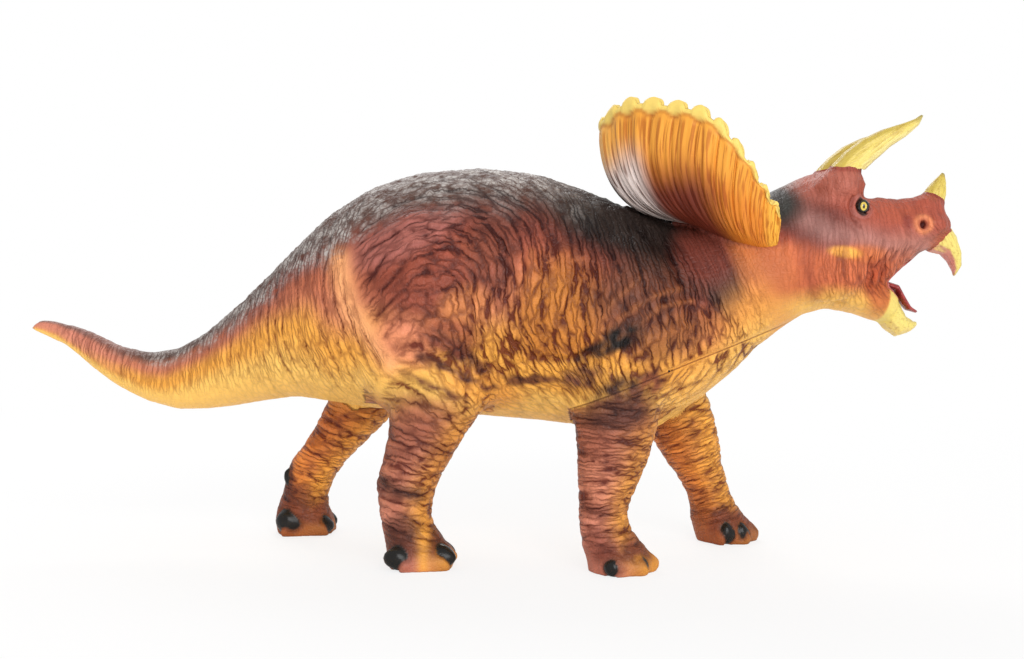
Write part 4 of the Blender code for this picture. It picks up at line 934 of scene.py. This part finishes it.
body_coat = Coat(body.mesh, ORANGE)
paint_trunk(body, body_coat)
for name in ("hind_leg_right", "hind_leg_left", "foreleg_right", "foreleg_left"):
    paint_leg(body, body_coat, name)
head_coat = Coat(head.mesh, ORANGE)
paint_trunk(head, head_coat)
paint_head(head, head_coat)
for hide, coat in ((body, body_coat), (head, head_coat)):
    hide.press()
    coat.dry()
    keep(hide.mesh, "wash", hide.wash * (1 - 0.35 * hide.skull))
    keep(hide.mesh, "flow", hide.flow)
    keep(hide.mesh, "worked", hide.calm)
    keep(hide.mesh, "seamed", hide.seamed)
    keep(hide.mesh, "nail", fall(hide.nail, 1.06, 1.17))
    trunk = ~hide.legs & (hide.skull < 0.5)
    # The top of the back is laid pale grey: partly the toy's dry-brushed paint, partly painted
    # sheen.
    edge = 0.82 - 0.14 * fall(hide.x, 0.030, 0.070)
    top_grey = rise(hide.level + hide.wander * 0.07, edge - 0.04, edge + 0.14)
    top_grey *= rise(hide.x, -0.080, -0.030)
    top_grey *= fall(hide.x, 0.120, 0.150)
    keep(hide.mesh, "top_grey", np.where(trunk, top_grey, 0.0))


NECK_OVERLAP = 0.003
MOUTH_FROM_X = 0.120
MOUTH_SIDES = 100


def cut_out(hide, names, name, neck_side=0):
    """The skin over some solids, closed over its cut edges but for the mouth, as an object."""
    kept = np.isin(hide.face_owner, names)
    piece = bmesh.new()
    piece.from_mesh(hide.mesh)
    if neck_side:
        near = [
            abs((f.calc_center_median() - NECK_JOINT).dot(NECK_LEAN)) < NECK_OVERLAP
            for f in piece.faces
        ]
        others = TRUNK_SOLIDS[:2] if neck_side > 0 else ["head_shell"]
        kept |= np.array(near) & np.isin(hide.face_owner, others)
    spare = [f for f, stays in zip(piece.faces, kept) if not stays]
    bmesh.ops.delete(piece, geom=spare, context="FACES")
    if neck_side:
        bmesh.ops.bisect_plane(
            piece, geom=[*piece.verts, *piece.edges, *piece.faces], dist=1e-7,
            plane_co=NECK_JOINT, plane_no=NECK_LEAN * -neck_side, clear_outer=True,
        )
    for face in piece.faces:
        face.smooth = True
    rim = [edge for edge in piece.edges if edge.is_boundary]
    ends = {}
    for edge in rim:
        for v in edge.verts:
            ends.setdefault(v, []).append(edge.other_vert(v))
    for turn in range(RIM_RUBS):
        moved = {
            v: (v.co + sum((w.co for w in pair), Vector()) / len(pair)) * 0.5
            for v, pair in ends.items()
        }
        for v, co in moved.items():
            v.co = co
    inward = {v: v.normal * -RIM_DEPTH for v in ends}
    for edge in rim:
        edge.smooth = False
    walls = bmesh.ops.extrude_edge_only(piece, edges=rim)["geom"]
    for v in walls:
        if isinstance(v, bmesh.types.BMVert):
            nearest = min((e.other_vert(v) for e in v.link_edges if e.other_vert(v) in inward),
                          key=lambda w: (w.co - v.co).length, default=None)
            if nearest:
                v.co += inward[nearest]
    inner = [e for e in walls if isinstance(e, bmesh.types.BMEdge) and e.is_boundary]
    caps = bmesh.ops.holes_fill(piece, edges=inner, sides=0)["faces"]
    mouth = [
        f for f in caps
        if len(f.verts) > MOUTH_SIDES and f.calc_center_median().x > MOUTH_FROM_X
    ]
    bmesh.ops.delete(piece, geom=mouth, context="FACES_ONLY")
    made = bpy.data.objects.new(name, bpy.data.meshes.new(name))
    piece.to_mesh(made.data)
    piece.free()
    scene.collection.objects.link(made)
    return made


hide_vinyl = Finish("hide_vinyl", Specular_IOR_Level=0.25)
place = hide_vinyl.place()
x, y, z = hide_vinyl.axes(place)
flow = hide_vinyl.attribute("flow")
paint = hide_vinyl.attribute("paint", "Color")
wash = hide_vinyl.attribute("wash")
top_grey = hide_vinyl.attribute("top_grey")
worked = hide_vinyl.attribute("worked")
nail = hide_vinyl.attribute("nail")
wander = hide_vinyl.speckle(place, 0.0045, 2.0, 0.5)
folds = hide_vinyl.node(
    "ShaderNodeTexVoronoi", {"feature": "DISTANCE_TO_EDGE"},
    {"Vector": hide_vinyl.vector(flow / 0.0018 + wander * 1.3, (x + y) / 0.0105, (z - y) / 0.0105),
     "Scale": 1.0},
)
ridge = hide_vinyl.ramp(folds, 0.0, 0.20)
crease = (1 - ridge) * worked
cells = hide_vinyl.node(
    "ShaderNodeTexVoronoi", {"feature": "DISTANCE_TO_EDGE"},
    {"Vector": place, "Scale": 1 / 0.0021},
)
grain = hide_vinyl.speckle(place, 0.0010, 2.0, 0.6)
mottle = hide_vinyl.speckle(place, 0.006, 3.0, 0.6)
pebbles = hide_vinyl.ramp(cells, 0.0, 0.22)
split = z - SEAM_PLACE[1] - (x - SEAM_PLACE[0] - FIGURE_X) * SEAM_SLOPE
split = hide_vinyl.node("ShaderNodeMath", {"operation": "ABSOLUTE"}, {0: split})
seam = (1 - hide_vinyl.ramp(split, 0.00010, 0.00055)) * hide_vinyl.attribute("seamed") * 0.8
# Folds are darkened by the dark wash the toy has, and further by painted shade in their hollows.
dark = (wash * 0.72 + crease * 0.60) * hide_vinyl.ramp(mottle, 0.22, 0.50) + seam * 0.9
washed_and_shaded = hide_vinyl.mix(dark, paint, hide_vinyl.mix(1.0, paint, (0.20, 0.095, 0.085), "MULTIPLY"))
# Ridge tops are lightened: partly the toy's pale dry-brushing, partly painted highlight.
high = hide_vinyl.ramp(folds, 0.16, 0.42) * hide_vinyl.ramp(mottle, 0.42, 0.62) * worked * 0.5
brushed_and_highlit = hide_vinyl.mix(high, washed_and_shaded, hide_vinyl.mix(1.0, paint, (1.55, 1.65, 1.9), "MULTIPLY"))
# Pale grey over the ridges on top of the back: partly dry-brushed paint, partly painted sheen.
grey_and_sheen = top_grey * (ridge * 0.75 + 0.25) * (pebbles * 0.5 + 0.5)
grey_and_sheen = grey_and_sheen * hide_vinyl.ramp(mottle, 0.30, 0.62)
greyed_and_sheened = hide_vinyl.mix(grey_and_sheen * 0.9, brushed_and_highlit, ASH)
horny = hide_vinyl.mix(nail, greyed_and_sheened, (0.012, 0.011, 0.010))
height = (ridge * worked * 0.75 + pebbles * 0.25 + grain * 0.22) * (1 - nail)
hide_vinyl.dress(horny, (grain * 0.16 + 0.40) * (1 - nail) + nail * 0.26,
                 hide_vinyl.relief(height, 0.00048))

MOULDINGS = [
    ("back_shell", body, -1, "back_vinyl"), ("chest_shell", body, -1, "belly_vinyl"),
    ("tail", body, 0, "tail_vinyl"), ("hind_leg_right", body, 0, "near_leg_vinyl"),
    ("hind_leg_left", body, 0, "far_leg_vinyl"), ("foreleg_right", body, 0, "near_leg_vinyl"),
    ("foreleg_left", body, 0, "far_leg_vinyl"), ("head_shell", head, 1, "head_vinyl"),
]
for name, hide, neck_side, slot in MOULDINGS:
    piece = cut_out(hide, [name], name + "_skin", neck_side)
    piece.data.materials.append(hide_vinyl.material)
    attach(piece, "root")
    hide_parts(name)


# Frill. A fan of vinyl, fluted and finely ridged from its foot to its rim, with a row of
# rounded knobs along the rim. Its foot is pushed into a groove in the head. It is orange,
# with dark streaks low on the back under a painted pale sheen that stands in for reflected
# light, painted shade in the groove under the knobs, and yellow knobs.
FRILL_ROOT = Vector((0.019488, 0, 0.13101))
FRILL_REACH = Vector((0.071, 0.0465, 0.060))
FRILL_THICKNESS = 0.0028
FLUTE_DEPTH = 0.0006
KNOB_HEIGHT = 0.0030
RIDGE_HEIGHT = 0.00038
DOME_HEIGHT = 0.0010
GROOVE_DEPTH = 0.00045
EDGE_THINNING = 0.0008
TOP_CLEARANCE = 0.0002
KNOB_COUNT = 21
RIDGE_COUNT = 63
FRILL_STATIONS = [0, 0.17, 0.35, 0.51, 0.68, 0.84, 1]
FRILL_FOOT = [
    (-0.500, 0, 0.183), (-0.480, 0.20, 0.167), (-0.410, 0.366, 0.125), (-0.300, 0.495, 0.075),
    (-0.183, 0.560, 0.025), (-0.105, 0.590, 0.008), (-0.028, 0.600, 0.008),
]
FRILL_BELLY = [
    (-1.020, 0, 0.240), (-0.920, 0.300, 0.275), (-0.770, 0.620, 0.350), (-0.545, 0.880, 0.320),
    (-0.345, 0.900, 0.210), (-0.170, 0.760, 0.130), (-0.035, 0.670, 0.065),
]
FRILL_RIM = [
    (-0.980, 0, 0.883), (-0.866, 0.387, 0.973), (-0.638, 0.700, 0.930), (-0.445, 0.925, 0.840),
    (-0.280, 0.990, 0.610), (-0.140, 0.870, 0.370), (-0.030, 0.740, 0.200),
]


def frill_line(guide, place):
    """A point of one guide line across the frill, from cheek to cheek."""
    stations = [-share for share in reversed(FRILL_STATIONS[1:])] + FRILL_STATIONS
    points = [Vector((x, -y, z)) for x, y, z in reversed(guide[1:])]
    points += [Vector(row) for row in guide]
    index = max(i for i in range(len(stations) - 1) if stations[i] <= place or i == 0)
    ahead = min(index + 2, len(points) - 1)
    before = max(index - 1, 0)
    span = stations[index + 1] - stations[index]
    near, far = points[index], points[index + 1]
    lead = (far - points[before]) / (stations[index + 1] - stations[before]) * span
    trail = (points[ahead] - near) / (stations[ahead] - stations[index]) * span
    t = (place - stations[index]) / span
    s = 1 - t
    bent = lead * (t * s * s) - trail * (t * t * s)
    return near * (s * s * (1 + 2 * t)) + far * (t * t * (3 - 2 * t)) + bent


def frill_lines(place):
    return [frill_line(guide, place) for guide in (FRILL_FOOT, FRILL_BELLY, FRILL_RIM)]


def frill_point(lines, reach):
    """A point of the frill's middle sheet, out from its foot to its rim, on the straight head."""
    foot, belly, rim = lines
    inner = 1 - reach
    share = foot * (inner * inner) + belly * (2 * inner * reach) + rim * (reach * reach)
    return FRILL_ROOT + Vector(a * b for a, b in zip(share, FRILL_REACH))


def knob_rise(place):
    """0 between two knobs of the rim, 1 over the middle of one."""
    off = (2 * (((place + 1) / 2 * KNOB_COUNT) % 1) - 1) / 0.74
    return np.sqrt(np.clip(1 - off * off, 0, 1))


fan = bmesh.new()
bmesh.ops.create_grid(fan, x_segments=RIDGE_COUNT * 6, y_segments=46, size=1)
fan_place = fan.verts.layers.float.new("place")
fan_reach = fan.verts.layers.float.new("reach")
columns = {}
for v in fan.verts:
    columns.setdefault(round(v.co.x, 5), []).append(v)
for place, column in columns.items():
    step = 0.006
    left, lines, right = frill_lines(place - step), frill_lines(place), frill_lines(place + step)
    flute = FLUTE_DEPTH * cos(pi * (place + 1) * KNOB_COUNT)
    knob = (float(knob_rise(place)) - 0.5) * KNOB_HEIGHT
    for v in column:
        reach = -0.16 + 1.16 * (1 - (1 - (v.co.y + 1) / 2) ** 1.5)
        v[fan_place], v[fan_reach] = place, reach
        out = frill_point(lines, reach + step) - frill_point(lines, reach - step)
        across = frill_point(right, reach) - frill_point(left, reach)
        point = frill_point(lines, reach) - across.cross(out).normalized() * flute * max(reach, 0)
        point += out.normalized() * knob * max(reach - 0.90, 0) * 9.4
        v.co = on_head((point.x, point.y, point.z), 1)
frill = bpy.data.objects.new("frill_fan", bpy.data.meshes.new("frill_fan"))
fan.to_mesh(frill.data)
fan.free()
scene.collection.objects.link(frill)
wall = frill.modifiers.new("Wall", "SOLIDIFY")
wall.thickness, wall.offset = FRILL_THICKNESS, 0
graph = bpy.context.evaluated_depsgraph_get()
walled = bpy.data.meshes.new_from_object(frill.evaluated_get(graph))
frill.modifiers.clear()
frill.data = walled
place = np.empty(len(walled.vertices), np.float32)
reach = np.empty(len(walled.vertices), np.float32)
walled.attributes["place"].data.foreach_get("value", place)
walled.attributes["reach"].data.foreach_get("value", reach)
place, reach = place.astype(float), reach.astype(float)
knob = knob_rise(place)
sway = ripple(place * 7, reach * 1.6, place * 0)
ridges = np.cos(pi * (place + 1) * RIDGE_COUNT + sway * 3.0)
ridges *= rise(reach, 0.06, 0.25) * fall(reach, 0.87, 0.93)
ridges *= 0.7 + 0.6 * ripple(place * 19, reach * 2.2, place * 0 + 4)
dome = knob * np.sqrt(np.clip(1 - ((reach - 0.966) / 0.042) ** 2, 0, 1))
groove = np.exp(-((reach - 0.952 + knob * 0.036) / 0.010) ** 2)
relief = ridges * RIDGE_HEIGHT + dome * DOME_HEIGHT - groove * GROOVE_DEPTH
relief -= rise(reach, 0.972, 1.0) * EDGE_THINNING
points = points_of(walled) + normals_of(walled) * relief[:, None]
points[:, 2] = np.minimum(points[:, 2], cad_box[1][2] - TOP_CLEARANCE)
move_points(walled, points)
for face in walled.polygons:
    face.use_smooth = True

coat = Coat(walled, (0.74, 0.24, 0.024))
coat.lay((0.84, 0.36, 0.045), rise(reach + sway * 0.1, 0.45, 0.85))
foot = fall(reach + sway * 0.10, 0.36, 0.78) * fall(np.abs(place), 0.44, 0.68)
coat.lay((0.17, 0.030, 0.014), foot)
coat.lay((0.95, 0.50, 0.060), rise(np.abs(place), 0.84, 0.94) * 0.8)
# Painted sheen: a pale patch low on the back near the middle, standing in for reflected light.
painted_sheen = fall(np.abs(place) + sway * 0.05 - reach * 0.04, 0.14, 0.27)
painted_sheen *= fall(reach, 0.55, 0.85)
coat.lay((0.88, 0.76, 0.71), painted_sheen * 0.92)
coat.lay((0.92, 0.50, 0.12), fall(np.abs(place), 0.05, 0.20) * rise(reach, 0.60, 0.85) * 0.6)
coat.lay((0.86, 0.62, 0.15), rise(reach + knob * 0.036, 0.950, 0.972))
# Painted shade: the groove under the knobs is laid darker orange-brown.
coat.lay((0.50, 0.17, 0.025), groove * 0.75)
coat.dry()
keep(walled, "painted_sheen", painted_sheen)

frill_vinyl = Finish("frill_vinyl", Specular_IOR_Level=0.30)
place, reach = frill_vinyl.attribute("place"), frill_vinyl.attribute("reach")
paint, painted_sheen = frill_vinyl.attribute("paint", "Color"), frill_vinyl.attribute("painted_sheen")
broad = frill_vinyl.speckle(frill_vinyl.vector(place * 26, reach * 1.8, 0.0), 1.0, 2.0, 0.6)
narrow = frill_vinyl.speckle(frill_vinyl.vector(place * 104, reach * 3.0, 7.0), 1.0, 1.0, 0.5)
grain = frill_vinyl.speckle(frill_vinyl.place(), 0.0009, 2.0, 0.6)
web = 1 - frill_vinyl.ramp(reach, 0.88, 0.94)
streaks = frill_vinyl.ramp(narrow, 0.50, 0.62) * web
browned = frill_vinyl.mix(1.0, paint, (0.46, 0.20, 0.10), "MULTIPLY")
tint = frill_vinyl.mix(streaks * 0.60, paint, browned)
tint = frill_vinyl.mix(streaks * painted_sheen * 0.85, tint, (0.085, 0.050, 0.045))
tint = frill_vinyl.mix(frill_vinyl.ramp(broad, 0.50, 0.68) * web * 0.15, tint,
                       frill_vinyl.mix(1.0, tint, (1.0, 0.62, 0.34), "MULTIPLY"))
height = (1 - narrow) * web * 0.8 + grain * 0.2
frill_vinyl.dress(tint, grain * 0.15 + 0.38, frill_vinyl.relief(height, 0.0005))
frill.data.materials.clear()
frill.data.materials.append(frill_vinyl.material)
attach(frill, "root")
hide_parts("frill")


# Horns and beaks. Each is a solid casting, pinned into the head by an oval peg. Pale
# yellow vinyl with long fine grooves, brown rubbed into the grooves, and a greyer tip.
HORNY_GRAIN = 0.00036
HORNY_RUBS = 36
LINE_DEPTH = 0.00016
HORNY = [("brow_horn_right", 1), ("brow_horn_left", 1), ("nose_horn", 1),
         ("upper_beak", 0), ("lower_beak", 0)]


def recast(name, grain, rubs):
    """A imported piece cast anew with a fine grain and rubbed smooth, as an object."""
    solid = bmesh.new()
    solid.from_mesh(nodes[name].data)
    bmesh.ops.remove_doubles(solid, verts=solid.verts, dist=1e-6)
    mesh = clay(name + "_cast", solid, grain, 0)
    rub(mesh, rubs)
    for face in mesh.polygons:
        face.use_smooth = True
    made = bpy.data.objects.new(name + "_cast", mesh)
    scene.collection.objects.link(made)
    return made


horn_vinyl = Finish("horn_vinyl")
paint, strand = horn_vinyl.attribute("paint", "Color"), horn_vinyl.attribute("strand", "Vector")
long_lines = horn_vinyl.speckle(strand, 1.0, 3.0, 0.65)
grain = horn_vinyl.speckle(horn_vinyl.place(), 0.0008, 2.0, 0.6)
rubbed = horn_vinyl.ramp(long_lines, 0.50, 0.66)
browned = horn_vinyl.mix(1.0, paint, (0.52, 0.36, 0.20), "MULTIPLY")
tint = horn_vinyl.mix(rubbed * 0.45, paint, browned)
tint = horn_vinyl.mix(horn_vinyl.ramp(grain, 0.56, 0.70) * 0.25, tint, (0.46, 0.30, 0.08))
height = (1 - long_lines) * 0.8 + grain * 0.2
horn_vinyl.dress(tint, grain * 0.14 + 0.32, horn_vinyl.relief(height, 0.0004))

for name, horned in HORNY:
    piece = recast(name, HORNY_GRAIN, HORNY_RUBS)
    mesh = piece.data
    points, normals = points_of(mesh), normals_of(mesh)
    middle = points.mean(axis=0)
    axis = np.linalg.svd(points - middle, full_matrices=False)[2][0]
    axis *= 1 if axis[0] + axis[2] * (1 if horned else -1) > 0 else -1
    along = (points - middle) @ axis
    share = (along - along.min()) / (along.max() - along.min())
    strand = (points - middle - along[:, None] * axis) / 0.0011 + along[:, None] * axis / 0.014
    lines = np.exp(-(ripple(*(strand * 0.7).T) / 0.16) ** 2)
    move_points(mesh, points - normals * (lines * LINE_DEPTH)[:, None])
    coat = Coat(mesh, (0.77, 0.60, 0.12) if horned else (0.84, 0.69, 0.18))
    upper = rise(normals[:, 2], -0.1, 0.7)
    if horned:
        coat.lay((0.50, 0.36, 0.05), upper * 0.75)
        coat.lay((0.24, 0.21, 0.08), rise(share, 0.86, 1.0) * 0.7)
        # Painted highlight: the undersides of the horns are laid paler yellow.
        coat.lay((0.90, 0.80, 0.36), fall(normals[:, 2], -0.6, 0.1) * 0.7)
    elif name == "upper_beak":
        gum = rise(-normals[:, 0] * 0.8 - normals[:, 2] * 0.6, 0.35, 0.85)
        coat.lay((0.70, 0.20, 0.20), gum * 0.9)
        coat.lay((0.55, 0.38, 0.10), rise(share, 0.88, 1.0) * 0.6)
    else:
        coat.lay((0.90, 0.62, 0.20), rise(-normals[:, 2], 0.2, 0.8) * 0.5)
    coat.dry()
    keep(mesh, "strand", strand, "FLOAT_VECTOR")
    mesh.materials.append(horn_vinyl.material)
    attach(piece, "root")
    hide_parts(name)


# Mouth. A thin lining of pink-red vinyl is glued into the open jaws, with fine pleats round
# it, and the darker tongue lies on its floor with a furrow along the middle.
LINING_GRAIN = 0.00048
TONGUE_GRAIN = 0.00036
PLEAT_DEPTH = 0.00020
FURROW_DEPTH = 0.00045


def moist_vinyl(name, colour, deep, roughness):
    finish = Finish(name)
    place = finish.place()
    patchy = finish.speckle(place, 0.0030, 3.0, 0.6)
    grain = finish.speckle(place, 0.0007, 2.0, 0.6)
    tint = finish.mix(finish.ramp(patchy, 0.38, 0.64), colour, deep)
    finish.dress(tint, patchy * 0.16 + roughness, finish.relief(grain * 0.5 + patchy, 0.0004))
    return finish.material


lining = recast("mouth_lining", LINING_GRAIN, 8)
points = points_of(lining.data)
pleats = np.abs(ripple(points[:, 0] / 0.0060, points[:, 1] / 0.0015, points[:, 2] / 0.0060))
pleat_depth = rise(0.12 - pleats, 0.0, 0.12) * PLEAT_DEPTH
move_points(lining.data, points - normals_of(lining.data) * pleat_depth[:, None])
pink = moist_vinyl("mouth_vinyl", (0.56, 0.13, 0.09), (0.34, 0.05, 0.04), 0.24)
lining.data.materials.append(pink)
tongue = recast("tongue", TONGUE_GRAIN, 16)
points = points_of(tongue.data)
centre = (points[:, 1].min() + points[:, 1].max()) / 2
furrow = np.exp(-((points[:, 1] - centre) / 0.0009) ** 2)
furrow *= rise(normals_of(tongue.data)[:, 2], 0.2, 0.7) * FURROW_DEPTH
move_points(tongue.data, points - normals_of(tongue.data) * furrow[:, None])
red = moist_vinyl("tongue_vinyl", (0.40, 0.045, 0.040), (0.22, 0.020, 0.022), 0.18)
tongue.data.materials.append(red)
MOUTH_PIECES = [(lining, "mouth_lining", "mouth_vinyl"), (tongue, "tongue", "tongue_vinyl")]
for piece, name, slot in MOUTH_PIECES:
    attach(piece, "root")
    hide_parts(name)


# Eyes. Balls of hard black plastic, pressed into their sockets, with a yellow ring painted
# round a dark upright pupil. Polished.
eye_plastic = Finish("eye_plastic", Roughness=0.08)
gaze = eye_plastic.attribute("gaze")
pupil = eye_plastic.attribute("pupil")
ring = eye_plastic.ramp(pupil, 0.85, 1.15) * (1 - eye_plastic.ramp(gaze, 0.00140, 0.00165))
flecks = eye_plastic.speckle(eye_plastic.place(), 0.0004, 2.0, 0.5)
flecked = eye_plastic.ramp(flecks, 0.4, 0.7)
yellow = eye_plastic.mix(flecked, (0.78, 0.62, 0.12), (0.56, 0.36, 0.05))
eye_plastic.dress(eye_plastic.mix(ring, (0.010, 0.008, 0.007), yellow), 0.08)
for word, side in (("right", -1), ("left", 1)):
    centre = on_head(EYE_PLACE, side)
    ball = bmesh.new()
    stance = Matrix.Translation(centre)
    bmesh.ops.create_icosphere(ball, subdivisions=5, radius=EYE_RADIUS, matrix=stance)
    for face in ball.faces:
        face.smooth = True
    eye = bpy.data.objects.new("eye_ball_" + word, bpy.data.meshes.new("eye_ball_" + word))
    ball.to_mesh(eye.data)
    ball.free()
    scene.collection.objects.link(eye)
    far = points_of(eye.data) - np.array(centre)
    out = np.array(on_head((0, 1, 0), side) - on_head((0, 0, 0), side))
    ahead = np.array(on_head((1, 0, 0), side) - on_head((0, 0, 0), side))
    open_side = far @ out > 0
    gaze = np.hypot(far @ ahead / 0.85, far[:, 2] / 1.15)
    keep(eye.data, "gaze", np.where(open_side, gaze, 0.01))
    keep(eye.data, "pupil", np.hypot(far @ ahead / 0.00048, far[:, 2] / 0.00095))
    eye.data.materials.append(eye_plastic.material)
    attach(eye, "root")
    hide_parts("eye_" + word)
